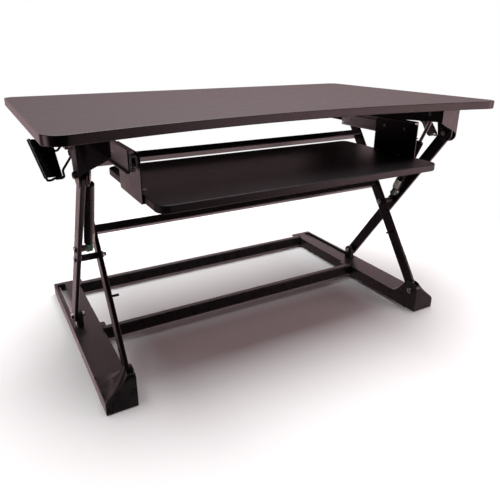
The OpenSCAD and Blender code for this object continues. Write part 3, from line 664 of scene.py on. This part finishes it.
def build_feet():
    low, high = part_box("foot_right")
    inner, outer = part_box("front_base_tube")[1].x, high.x
    flat_top = 30 * MM
    wall = 2.5 * MM
    back = high.y
    nose = 84 * MM
    foot = block("foot_right", (inner, low.y + nose, low.z), (outer, back, flat_top))
    combine(foot, nose_form(inner, outer, low, nose, flat_top), "UNION")
    for tube in ("front_base_tube", "rear_base_tube"):
        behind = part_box(tube)[1].y + 8 * MM
        tab = block("tab", (low.x, behind, flat_top - wall), (inner + wall, behind + 18 * MM, flat_top))
        round_edges(tab, lambda e: along(2)(e) and middle(e).x < inner, 3 * MM, 3)
        combine(foot, tab, "UNION")
    combine(foot, block("inside", (inner + wall, low.y + wall, -0.01),
                        (outer - wall, back - wall, flat_top - wall)))
    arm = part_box("inner_arm_right")
    combine(foot, block("room", (inner + wall, low.y + 6 * MM, flat_top + 7 * MM),
                        (arm[1].x + 0.4 * MM, low.y + 0.17, flat_top + 0.09)))
    slot_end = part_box("slot_rails")[1].y
    slot = block("slot", (inner + 34.5 * MM, SLOT.y - 14 * MM, flat_top - 12 * MM),
                 (inner + 55 * MM, slot_end - 4 * MM, flat_top + 8 * MM))
    round_edges(slot, along(2), 6 * MM, 5)
    combine(foot, slot)
    dress_pair(foot, "foot", "base", "frame", sizes().cut_round * 1.6, 2)


def build_tubes():
    for name in ("front_base_tube", "rear_base_tube"):
        low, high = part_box(name)
        tube = block(name, low, high)
        round_edges(tube, along(0), sizes().tube_round, 4)
        soften(tube, 0)
        dress(tube, "base", "frame", name)
        radius = sizes().weld_radius
        x = high.x - radius * 0.3
        bead = weld([(x, low.y - radius * 0.2, low.z + 3 * MM), (x, low.y - radius * 0.2, high.z - 1 * MM),
                     (x, low.y + 2 * MM, high.z), (x, high.y, high.z)], radius)
        beads = join(name + "_welds", [bead, twin(bead, "other")])
        soften(beads, 0)
        dress(beads, "base", "frame", slot=SLOT_OF[name])
    for name, across, deep, share in (
            ("upper_cross_tube", 28, 15, 0.905), ("lower_cross_tube", 20, 16, 0.606)):
        centre = FOOT + Vector((0, share * ARM_LENGTH, 0))
        reach = Vector((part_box(name)[1].x, deep * MM / 2, across * MM / 2))
        tube = block(name, centre - reach, centre + reach)
        round_edges(tube, along(0), sizes().tube_round, 4)
        swing(tube, FOOT, ARM_ANGLE)
        soften(tube, 0)
        dress(tube, "inner_frame", "frame", name)


def arm_bar(name, node_name, pivot, angle):
    """A round-ended bar from the pivot, at an angle to the desk."""
    low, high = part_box(node_name)
    half = 14 * MM
    outline = [(pivot.y + y, pivot.z + z) for y, z in
               arc((0, 0), half, 270, 90, 16) + arc((ARM_LENGTH, 0), half, 90, -90, 16)]
    bar = sheet(name, outline, low.x, high.x)
    round_edges(bar, lambda e: abs((e.verts[0].co - e.verts[1].co).x) < 1e-6, 2.0 * MM, 4)
    swing(bar, pivot, angle)
    return bar


def build_arms():
    inner = arm_bar("inner", "inner_arm_right", FOOT, ARM_ANGLE)
    dress_pair(inner, "inner_arm", "inner_frame", "frame", 0)
    outer = arm_bar("outer", "outer_arm_right", TOP, -ARM_ANGLE)
    dress_pair(outer, "outer_arm", "outer_{side}", "frame", 0)


def solo(name, half, body, material, *nodes, width=0.0, slot=None):
    """Joins the right-hand part and its mirror image into one piece on one body."""
    piece = join(name, [half, twin(half, "other")])
    soften(piece, width)
    return dress(piece, body, material, *nodes, slot=slot)


def build_bolts():
    mm = MM
    f, c, t, r, s = FOOT, CROSS, TOP, REAR, SLOT
    low, high = right_box("foot_pivot_bolts")
    head = hex_bolt("bolt", (high.x - 16 * mm, f.y, f.z), (-1, 0, 0), 14 * mm, 4 * mm)
    solo("foot_bolts", head, "base", "steel", "foot_pivot_bolts", width=0.2 * mm)
    arm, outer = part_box("inner_arm_right"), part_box("outer_arm_right")
    head = hex_bolt("bolt", (arm[0].x, c.y, c.z), (-1, 0, 0), 14 * mm, 5 * mm)
    shaft = drum("shaft", (arm[0].x, c.y, c.z), (outer[1].x + 3 * mm, c.y, c.z), 4 * mm)
    far = hex_bolt("far", (outer[1].x + 0.3 * mm, c.y, c.z), (1, 0, 0), 12 * mm, 2.7 * mm, False)
    tip = drum("tip", (arm[0].x - 9.5 * mm, c.y, c.z), (arm[0].x - 4 * mm, c.y, c.z), 4 * mm, 24)
    solo("cross_bolts", join("bolt", [head, tip, shaft, far]), "inner_frame", "steel", "centre_bolts",
         width=0.2 * mm)
    head = hex_bolt("bolt", (arm[0].x, r.y, r.z), (-1, 0, 0), 14 * mm, 4 * mm)
    shaft = drum("shaft", (arm[0].x, r.y, r.z), (arm[1].x + 9.5 * mm, r.y, r.z), 4 * mm)
    solo("glide_bolts", join("bolt", [head, shaft]), "inner_frame", "steel", "glide_pins", width=0.2 * mm)
    low, high = right_box("top_pivot_bolts")
    lug = high.x - 22.5 * mm
    washer = drum("washer", (lug, t.y, t.z), (lug - 1.5 * mm, t.y, t.z), 8 * mm)
    head = hex_bolt("bolt", (lug - 1.5 * mm, t.y, t.z), (-1, 0, 0), 11 * mm, 3.5 * mm)
    shaft = drum("shaft", (lug, t.y, t.z), (high.x - 6 * mm, t.y, t.z), 4 * mm)
    end = nut("nut", (high.x - 6 * mm, t.y, t.z), (1, 0, 0), 14 * mm, 5.4 * mm)
    solo("top_washers", washer, "worktop", "frame", width=0.3 * mm, slot="frame")
    solo("top_bolts", join("bolt", [head, shaft, end]), "worktop", "steel", "top_pivot_bolts", width=0.2 * mm)
    low, high = right_box("spring_pins")
    y, z = (low.y + high.y) / 2, (low.z + high.z) / 2
    clip = hex_bolt("clip", (low.x + 3 * mm, y, z), (-1, 0, 0), 14 * mm, 3 * mm)
    shaft = drum("shaft", (low.x + 3 * mm, y, z), (high.x, y, z), 4 * mm)
    collar = drum("collar", (low.x + 13 * mm, y, z), (high.x - 2.5 * mm, y, z), 5.5 * mm)
    solo("spring_pins_turned", join("pin", [clip, shaft, collar]), "worktop", "steel", "spring_pins",
         width=0.2 * mm)
    low, high = right_box("bracket_bolts")
    y, z = (low.y + high.y) / 2, (low.z + high.z) / 2
    head = hex_bolt("head", (low.x + 2.5 * mm, y, z), (-1, 0, 0), 8 * mm, 2.5 * mm, False)
    combine(head, drum("socket", (low.x - mm, y, z), (low.x + 1.2 * mm, y, z), 1.9 * mm, 6))
    shaft = drum("shaft", (low.x + 2.5 * mm, y, z), (high.x, y, z), 2.5 * mm)
    solo("bracket_screws", join("bolt", [head, shaft]), "worktop", "steel", "bracket_bolts", width=0.15 * mm)
    low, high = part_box("spring_stud_right")
    y, z = (low.y + high.y) / 2, (low.z + high.z) / 2
    head = hex_bolt("head", (outer[1].x, y, z), (1, 0, 0), 13 * mm, 3.5 * mm)
    shaft = drum("shaft", (low.x, y, z), (outer[1].x, y, z), 4.05 * mm)
    combine(shaft, drum("recess", (low.x - mm, y, z), (low.x + 2.4 * mm, y, z), 3.2 * mm))
    collar = drum("collar", (low.x + 13.5 * mm, y, z), (outer[0].x, y, z), 6.5 * mm)
    dress_pair(join("stud", [head, shaft, collar]), "spring_stud", "outer_{side}", "steel", 0.2 * mm)
    low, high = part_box("slider_bolt_right")
    washer = drum("washer", (outer[1].x, s.y, s.z), (outer[1].x + 1.5 * mm, s.y, s.z), 8 * mm)
    head = hex_bolt("head", (outer[1].x + 1.5 * mm, s.y, s.z), (1, 0, 0), 13 * mm, 3 * mm)
    shaft = drum("shaft", (low.x, s.y, s.z), (outer[1].x, s.y, s.z), 4.05 * mm)
    end = nut("nut", (low.x + 7.1 * mm, s.y, s.z), (-1, 0, 0), 14 * mm, 5.4 * mm)
    dress_pair(join("bolt", [washer, head, shaft, end]), "slider_bolt", "outer_{side}", "steel", 0.2 * mm)


def build_sliders():
    low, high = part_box("slider_block_right")
    half = 13 * MM
    cheek_top = [(SLOT.y + half * math.cos(math.radians(a)), SLOT.z + half * math.sin(math.radians(a)))
                 for a in range(0, 181, 12)]
    side = cheek_top + [(SLOT.y - half, low.z + 8 * MM), (SLOT.y + half, low.z + 8 * MM)]
    cheek = sheet("cheek", side, low.x, high.x - 1.2 * MM)
    shoe = block("shoe", (low.x, low.y, low.z), (high.x, high.y, low.z + 19.5 * MM))
    combine(cheek, shoe, "UNION")
    bored(cheek, (low.x + 6 * MM, SLOT.y, SLOT.z), 4.2 * MM, 0.04)
    dress_pair(cheek, "slider_block", "slider_{side}", "nylon", 0.9 * MM, 3)


def spring_frame():
    """The spring's foot and the pin at its other end, on the right."""
    stud = Vector([(a + b) / 2 for a, b in zip(*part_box("spring_end_right"))])
    stud_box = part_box("spring_stud_right")
    stud.y, stud.z = (stud_box[0].y + stud_box[1].y) / 2, (stud_box[0].z + stud_box[1].z) / 2
    pin_box = right_box("spring_pins")
    pin = Vector((stud.x, (pin_box[0].y + pin_box[1].y) / 2, (pin_box[0].z + pin_box[1].z) / 2))
    return stud, pin


def build_springs():
    mm = MM
    stud, pin = spring_frame()
    way = (pin - stud).normalized()
    span = (pin - stud).length

    def on(distance):
        return stud + way * distance * mm

    radius, foot, top = 9.5 * mm, 13.5, 155.5
    body = drum("body", on(foot), on(top), radius, 48)
    for end, rounding in ((on(top), 3.2 * mm), (on(foot), 1.6 * mm)):
        round_edges(body, lambda e: all(abs((v.co - end).dot(way)) < 1e-6 for v in e.verts), rounding, 6)
    for place in (49, top - 33):
        ring = drum("ring", on(place), on(place + 0.8), radius * 1.2, 48)
        combine(ring, drum("keep", on(place - 1), on(place + 2), radius - 0.35 * mm, 48))
        combine(body, ring)
    combine(body, drum("seal", on(top - 1.2), on(top + 1), 6.2 * mm, 32))
    lip = drum("lip", on(top - 3), on(top - 0.4), 5.9 * mm, 32)
    body = join("spring_cylinder", [body, lip])
    dress_pair(body, "spring_cylinder", "outer_{side}", "cylinder", 0.15 * mm, 2)
    band = drum("band", on(17), on(42), radius + 0.9 * mm, 64)
    combine(band, drum("inside", on(16), on(43), radius + 0.02 * mm, 64))
    combine(band, block("open", stud + Vector((-4 * mm, -0.1, -0.1)), stud + Vector((0.03, 0.2, 0.2))))
    dress_pair(band, "spring_sleeve", "outer_{side}", "sleeve", 0.25 * mm, 2)
    across = Vector((1, 0, 0)).cross(way)
    neck = block("neck", (-5.5 * mm, -6 * mm, 0), (5.5 * mm, 6 * mm, foot * mm))
    for vertex in neck.data.vertices:
        x, y, z = vertex.co
        vertex.co = stud + Vector((x, 0, 0)) + across * y + way * z
    round_edges(outward(neck), lambda e: abs((e.verts[0].co - e.verts[1].co).normalized().dot(way)) > 0.99,
                2.2 * mm, 4)
    eye = drum("eye", on(-2) - Vector((5.5 * mm, 0, 0)), on(-2) + Vector((5.5 * mm, 0, 0)), 7 * mm, 40)
    combine(eye, neck, "UNION")
    bored(eye, stud, 4.3 * mm, 0.04)
    dress_pair(eye, "spring_end", "outer_{side}", "end", 0.8 * mm, 3)
    rod = drum("rod", on(foot + 81), on(span / mm - 7), 4 * mm, 32)
    eye = drum("eye", pin - Vector((4.5 * mm, 0, 0)), pin + Vector((4.5 * mm, 0, 0)), 9.5 * mm, 40)
    bored(eye, pin + way * -1.15 * mm, 6.3 * mm, 0.04)
    soften(eye, 1.0 * mm, 3)
    dress_pair(join("rod", [rod, eye]), "spring_rod", "rod_{side}", "rod", 0)


def build_brackets():
    mm = MM
    low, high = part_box("bracket_right")
    under = high.z
    lug = 20 * mm
    inner, outer = high.x - 16.5 * mm, high.x - 2.5 * mm
    front = low.y
    cut = math.degrees(math.acos((front - TOP.y) / lug))
    cheeks = []
    for start, back in ((inner, high.y), (outer, high.y - 90 * mm)):
        side = [(front, under)] + arc((TOP.y, TOP.z), lug, 360 - cut, 360, 22)
        side += [(TOP.y + 26 * mm, TOP.z + 31 * mm), (back, TOP.z + 39 * mm), (back, under)]
        cheeks.append(sheet("cheek", side, start, start + 2.5 * mm))
    face = [(low.x, under), (low.x, under - 33 * mm), (low.x + 6 * mm, under - 37.4 * mm),
            (low.x + 14 * mm, under - 41.6 * mm), (low.x + 29 * mm, under - 48 * mm),
            (low.x + 41 * mm, under - 53.4 * mm), (high.x, TOP.z - 1 * mm), (high.x, under)]
    face = sheet("face", face, front, front + 2.5 * mm, axis=1)
    fold = block("fold", (low.x, front, under - 33 * mm), (low.x + 2.5 * mm, front + 24 * mm, under))
    tie = sheet("tie", [(front, under), (front, under - 32 * mm), (front + 30 * mm, under - 34 * mm),
                        (high.y - 4 * mm, under - 45 * mm), (high.y, under - 42 * mm), (high.y, under)],
                low.x + 2.5 * mm, low.x + 5 * mm)
    flange = block("flange", (low.x, front, under - 2.5 * mm), (high.x, high.y, under))
    bracket = cheeks[0]
    for part in (cheeks[1], face, fold, tie, flange):
        combine(bracket, part, "UNION")
    round_edges(bracket, lambda e: along(2)(e) and middle(e).y < front + 1e-5
                and (middle(e).x > high.x - 1e-5 or middle(e).x < low.x + 1e-5), 2.2 * mm, 4)
    dress_pair(bracket, "bracket", "worktop", "frame", sizes().cut_round, 2)


def channel(name, low, high, wall, lip, web_first):
    """One rolled member of a ball slide, with curled lips, in this box."""
    web, mouth = (low.x, high.x) if web_first else (high.x, low.x)
    step = wall if web_first else -wall
    floor, roof = low.z + wall, high.z - wall
    inner = [(mouth, floor + lip), (mouth - step, floor + lip), (mouth - step, floor), (web + step, floor),
             (web + step, roof), (mouth - step, roof), (mouth - step, roof - lip), (mouth, roof - lip)]
    outline = inner + [(mouth, high.z), (web, high.z), (web, low.z), (mouth, low.z)]
    member = sheet(name, outline, low.y, high.y, axis=1)
    return round_edges(member, along(1), wall * 0.45, 2)


def build_slides():
    mm = MM
    for stem, body, web_first, lip in (
            ("slide_outer", "worktop", False, 2.2), ("slide_mid", "mid_{side}", False, 2.0),
            ("slide_inner", "tray", True, 0.6)):
        low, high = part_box(stem + "_right")
        member = channel(stem, low, high, 1.5 * mm, lip * mm, web_first)
        middle_z = (low.z + high.z) / 2
        if stem == "slide_inner":
            for back in (52, 38, 14):
                bored(member, (low.x, high.y - back * mm, middle_z), 2.5 * mm, 0.01)
        dress_pair(member, stem, body, "slides", 0.15 * mm, 1)


def build_tray_brackets():
    mm = MM
    low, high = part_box("tray_bracket_right")
    wall_x = high.x - 2 * mm
    side = turned([(low.y, low.z), (high.y, low.z), (high.y, high.z), (low.y, high.z)], 5 * mm)
    plate = sheet("plate", side, wall_x, high.x)
    foot = block("foot", (low.x, low.y + 5 * mm, low.z),
                 (high.x - 1 * mm, high.y - 5 * mm, low.z + 2.5 * mm))
    round_edges(foot, lambda e: along(2)(e) and middle(e).x < wall_x, 6 * mm, 4)
    combine(plate, foot, "UNION")
    dress_pair(plate, "tray_bracket", "tray", "frame", sizes().cut_round, 2)
    screws = []
    low, high = right_box("tray_screws")
    mid_z = high.z - 4 * mm
    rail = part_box("slide_inner_right")[0].x
    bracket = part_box("tray_bracket_right")
    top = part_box("tray_panel")[1].z
    for back in (36, 98):
        head = hex_bolt("head", (wall_x, bracket[0].y + back * mm, mid_z), (-1, 0, 0), 8 * mm, 2.5 * mm)
        screws += [head, drum("shank", (wall_x, bracket[0].y + back * mm, mid_z),
                              (rail + 1.5 * mm, bracket[0].y + back * mm, mid_z), 2 * mm, 20)]
    for back in (33, 100):
        x, y = wall_x - 14 * mm, bracket[0].y + back * mm
        head = hex_bolt("head", (x, y, top - 0.3 * mm), (0, 0, 1), 9 * mm, 0.7 * mm, False)
        combine(head, drum("socket", (x, y, top), (x, y, top + 2 * mm), 1.6 * mm, 6))
        screws += [head, drum("shank", (x, y, low.z), (x, y, top), 2 * mm, 20)]
    solo("tray_fasteners", join("screws", screws), "tray", "steel", "tray_screws")


def grip_frame():
    """Origin and directions of the right-hand grip: across, up along it, and off its face."""
    tilt = math.radians(43)
    origin = Vector((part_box("outer_arm_right")[1].x + 17 * MM, TOP.y + 66 * MM, TOP.z - 18 * MM))
    up = Vector((0, math.cos(tilt), math.sin(tilt)))
    off = Vector((0, -math.sin(tilt), math.cos(tilt)))
    return origin, Vector((1, 0, 0)), up, off


def build_handles():
    mm = MM
    origin, across, up, off = grip_frame()

    def on(x, y, z=1.0):
        return origin + across * x * mm + up * y * mm + off * z * mm

    def edge(y):
        return 22.5 + 0.155 * y

    length, crossing = 82, 57.4
    outline = turned([(-3, 0), (8, 0), (8, 3), (edge(3), 3), (edge(length), length + 2), (-1, length - 6)],
                     [1, 0.4, 0.4, 1, 5, 5], 5)
    plate = sheet("plate", [(x * mm, y * mm) for x, y in outline], 0, 2 * mm, axis=2)
    for vertex in plate.data.vertices:
        x, y, z = vertex.co / mm
        vertex.co = on(x, y, z)
    outward(plate)
    rolls = [wire("roll", [on(-3, 0), on(8, 0)], 3 * mm, sides=6),
             wire("roll", [on(-2, crossing, -2.5), on(22.5, crossing + 3, -2.5)], 3.4 * mm, sides=6),
             wire("roll", [on(edge(3), 3), on(edge(length), length)], 3.25 * mm, sides=6)]
    for roll in rolls:
        soften(roll, 0.3 * mm)
    soften(plate, 0.4 * mm)
    dress_pair(join("grip", [plate] + rolls), "handle_grip", "handle_{side}", "frame", 0)
    tilt = math.radians(46)
    hinge = Vector((0, math.cos(tilt), math.sin(tilt)))
    low = Vector((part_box("bracket_right")[1].x - 9.5 * mm, TOP.y + 78 * mm, TOP.z + 20 * mm))
    high = low + hinge * 38 * mm
    bend = sizes().wire_bend
    loop = [on(-5.6, 14), on(-5.6, 0), on(10.5, 0), on(15, -3), on(edge(-7), -3), on(edge(0), 0),
            on(edge(50), 50)]
    lower = wire("wire", [low + hinge * 6 * mm, low - hinge * 5.5 * mm] + loop, 2 * mm, bend * 0.45, 5)
    start, end = on(-2, crossing, -2.5), on(22.5, crossing + 3, -2.5)
    upper = wire("wire", [high + hinge * 6 * mm, high - hinge * 7 * mm, start.lerp(end, -0.16), end],
                 2 * mm, bend * 0.5, 5)
    dress_pair(join("wire", [lower, upper]), "handle_wire", "handle_{side}", "wire", 0)


KEPT = ("foot_pads", "slot_rails", "centre_spacers", "stub_pins", "glide_left", "glide_right",
        "rear_track_left", "rear_track_right", "slide_hangers", "handle_mounts", "panel_screws")


def dress_frame():
    """Gives the carried-over nodes their materials."""
    for name in KEPT:
        piece = frame["nodes"][name]
        piece.data.materials.clear()
        piece.data.materials.append(MATERIALS[SLOT_OF[name]])


# ---------------------------------------------------------------- studio
FLOOR_SIZE = 4.0
FADE_START, FADE_END = 0.5, 1.25        # the floor fades out between these distances from its middle
BRIGHT_WAY = (0.70, 0.70, -0.42)        # from the object towards the brightest part of the surroundings
CAMERA_PLACE = (-0.5586, -1.0003, 0.6428)
CAMERA_TURN = (math.pi / 2 - 0.36758, -0.00256, -0.50492)
CAMERA_LENS, CAMERA_SHIFT = 35.5, (0.0151, -0.0334)


def build_floor():
    """A pale floor that shows in no reflection."""
    look = finish()
    focus()
    bpy.ops.mesh.primitive_plane_add(size=FLOOR_SIZE)
    floor = named("floor")
    paint = bpy.data.materials.new("floor")
    paint.use_nodes = True
    shader = paint.node_tree.nodes["Principled BSDF"]
    shader.inputs["Base Color"].default_value = (*look.floor, 1)
    shader.inputs["Roughness"].default_value = 0.9
    shader.inputs["Specular IOR Level"].default_value = 0.1
    place = node(paint.node_tree, "TexCoord").outputs["Object"]
    reach = node(paint.node_tree, "VectorMath", [(0, place)], operation="LENGTH")
    fade = node(paint.node_tree, "MapRange", [("Value", reach.outputs["Value"])],
                interpolation_type="SMOOTHSTEP", From_Min=FADE_START, From_Max=FADE_END,
                To_Min=1.0, To_Max=0.0)
    paint.node_tree.links.new(fade.outputs[0], shader.inputs["Alpha"])
    floor.data.materials.append(paint)
    floor.visible_glossy = False
    return floor


def build_world():
    """Surroundings that are bright on one side, and plain white where the camera sees them."""
    look = finish()
    world = bpy.data.worlds.new("studio")
    world.use_nodes = True
    bpy.context.scene.world = world
    tree = world.node_tree
    shader = tree.nodes["Background"]
    ray = node(tree, "TexCoord").outputs["Generated"]
    toward = node(tree, "VectorMath", [(0, ray)], operation="DOT_PRODUCT")
    toward.inputs[1].default_value = BRIGHT_WAY
    depth = node(tree, "MapRange", [("Value", toward.outputs["Value"])], interpolation_type="SMOOTHSTEP",
                 From_Min=-0.05, From_Max=0.85, To_Min=look.front, To_Max=look.back)
    seen = node(tree, "LightPath").outputs["Is Camera Ray"]
    level_mix = node(tree, "Mix", data_type="FLOAT")
    tree.links.new(seen, level_mix.inputs[0])
    tree.links.new(depth.outputs[0], level_mix.inputs[2])
    level_mix.inputs[3].default_value = 1.0
    tree.links.new(level_mix.outputs[0], shader.inputs["Strength"])
    hue = node(tree, "Mix", data_type="RGBA")
    tree.links.new(seen, hue.inputs[0])
    hue.inputs[6].default_value = (*look.tint, 1)
    hue.inputs[7].default_value = (1, 1, 1, 1)
    tree.links.new(hue.outputs[2], shader.inputs["Color"])


def build_camera():
    bpy.ops.object.camera_add(location=CAMERA_PLACE, rotation=CAMERA_TURN)
    camera = bpy.context.object
    camera.data.lens = CAMERA_LENS
    camera.data.sensor_width = 36
    camera.data.shift_x, camera.data.shift_y = CAMERA_SHIFT
    camera.data.dof.use_dof = False
    bpy.context.scene.camera = camera


def build_stage():
    look = finish()
    floor = build_floor()
    for name, place, target, size, power in (
            ("overhead", (0.0, 0.35, 2.7), (0.0, 0.35, 0.0), 2.8, look.overhead),
            ("right_softbox", (1.3, -1.25, 0.3), (0.2, -0.2, 0.3), 1.0, look.side),
            ("left_softbox", (-1.9, 0.0, 0.4), (-0.4, -0.2, 0.4), 0.8, look.left)):
        bpy.ops.object.light_add(type="AREA", location=place)
        light = bpy.context.object
        light.name = name
        light.data.size = size
        light.data.energy = power
        light.data.color = (1, 1, 1) if name == "overhead" else look.tint
        light.rotation_euler = (Vector(target) - Vector(place)).to_track_quat("-Z", "Y").to_euler()
    build_world()
    build_camera()
    bpy.context.scene.view_settings.view_transform = "Standard"


# ---------------------------------------------------------------- add-on
class CONVERTER_OT_materials(bpy.types.Operator):
    """Makes the procedural materials"""
    bl_idname = "converter.materials"
    bl_label = "Materials"

    def execute(self, context):
        make_materials()
        return {"FINISHED"}


class CONVERTER_OT_boards(bpy.types.Operator):
    """Builds the worktop, its edge band and the tray"""
    bl_idname = "converter.boards"
    bl_label = "Boards"

    def execute(self, context):
        build_boards()
        return {"FINISHED"}


class CONVERTER_OT_feet(bpy.types.Operator):
    """Builds the two pressed feet"""
    bl_idname = "converter.feet"
    bl_label = "Feet"

    def execute(self, context):
        build_feet()
        return {"FINISHED"}


class CONVERTER_OT_tubes(bpy.types.Operator):
    """Builds the base tubes, the cross tubes and their welds"""
    bl_idname = "converter.tubes"
    bl_label = "Tubes"

    def execute(self, context):
        build_tubes()
        return {"FINISHED"}


class CONVERTER_OT_arms(bpy.types.Operator):
    """Builds the four arms of the scissor lift"""
    bl_idname = "converter.arms"
    bl_label = "Arms"

    def execute(self, context):
        build_arms()
        return {"FINISHED"}


class CONVERTER_OT_bolts(bpy.types.Operator):
    """Builds the pivot bolts, studs and pins"""
    bl_idname = "converter.bolts"
    bl_label = "Bolts"

    def execute(self, context):
        build_bolts()
        return {"FINISHED"}


class CONVERTER_OT_sliders(bpy.types.Operator):
    """Builds the nylon blocks in the feet's slots"""
    bl_idname = "converter.sliders"
    bl_label = "Sliders"

    def execute(self, context):
        build_sliders()
        return {"FINISHED"}


class CONVERTER_OT_springs(bpy.types.Operator):
    """Builds the two gas springs"""
    bl_idname = "converter.springs"
    bl_label = "Springs"

    def execute(self, context):
        build_springs()
        return {"FINISHED"}


class CONVERTER_OT_brackets(bpy.types.Operator):
    """Builds the folded brackets under the worktop"""
    bl_idname = "converter.brackets"
    bl_label = "Brackets"

    def execute(self, context):
        build_brackets()
        return {"FINISHED"}


class CONVERTER_OT_slides(bpy.types.Operator):
    """Builds the ball slides of the tray"""
    bl_idname = "converter.slides"
    bl_label = "Slides"

    def execute(self, context):
        build_slides()
        return {"FINISHED"}


class CONVERTER_OT_tray_brackets(bpy.types.Operator):
    """Builds the tray's brackets and screws"""
    bl_idname = "converter.tray_brackets"
    bl_label = "Tray brackets"

    def execute(self, context):
        build_tray_brackets()
        return {"FINISHED"}


class CONVERTER_OT_handles(bpy.types.Operator):
    """Builds the release handles"""
    bl_idname = "converter.handles"
    bl_label = "Handles"

    def execute(self, context):
        build_handles()
        return {"FINISHED"}


class CONVERTER_OT_frame(bpy.types.Operator):
    """Gives the carried-over nodes their materials"""
    bl_idname = "converter.frame"
    bl_label = "Frame"

    def execute(self, context):
        dress_frame()
        return {"FINISHED"}


class CONVERTER_OT_stage(bpy.types.Operator):
    """Builds the floor, the lights and the camera"""
    bl_idname = "converter.stage"
    bl_label = "Stage"

    def execute(self, context):
        build_stage()
        return {"FINISHED"}


OPERATORS = (
    CONVERTER_OT_materials, CONVERTER_OT_boards, CONVERTER_OT_feet, CONVERTER_OT_tubes,
    CONVERTER_OT_arms, CONVERTER_OT_bolts, CONVERTER_OT_sliders, CONVERTER_OT_springs,
    CONVERTER_OT_brackets, CONVERTER_OT_slides, CONVERTER_OT_tray_brackets, CONVERTER_OT_handles,
    CONVERTER_OT_frame, CONVERTER_OT_stage)


class CONVERTER_PT_panel(bpy.types.Panel):
    """Sizes, finish and the operators of the converter"""
    bl_label = "Standing Desk Converter"
    bl_idname = "CONVERTER_PT_panel"
    bl_space_type = "VIEW_3D"
    bl_region_type = "UI"
    bl_category = "Converter"

    def draw(self, context):
        for settings in (context.scene.converter_sizes, context.scene.converter_finish):
            for name in settings.__annotations__:
                self.layout.prop(settings, name)
        for each in OPERATORS:
            self.layout.operator(each.bl_idname)


CLASSES = (ConverterSizes, ConverterFinish, CONVERTER_PT_panel) + OPERATORS


def register():
    for each in CLASSES:
        bpy.utils.register_class(each)
    bpy.types.Scene.converter_sizes = PointerProperty(type=ConverterSizes)
    bpy.types.Scene.converter_finish = PointerProperty(type=ConverterFinish)


def unregister():
    del bpy.types.Scene.converter_sizes
    del bpy.types.Scene.converter_finish
    for each in reversed(CLASSES):
        bpy.utils.unregister_class(each)


def main():
    register()
    for each in OPERATORS:
        getattr(bpy.ops.converter, each.bl_idname.split(".")[1])()
    focus()


if __name__ == "__main__":
    main()
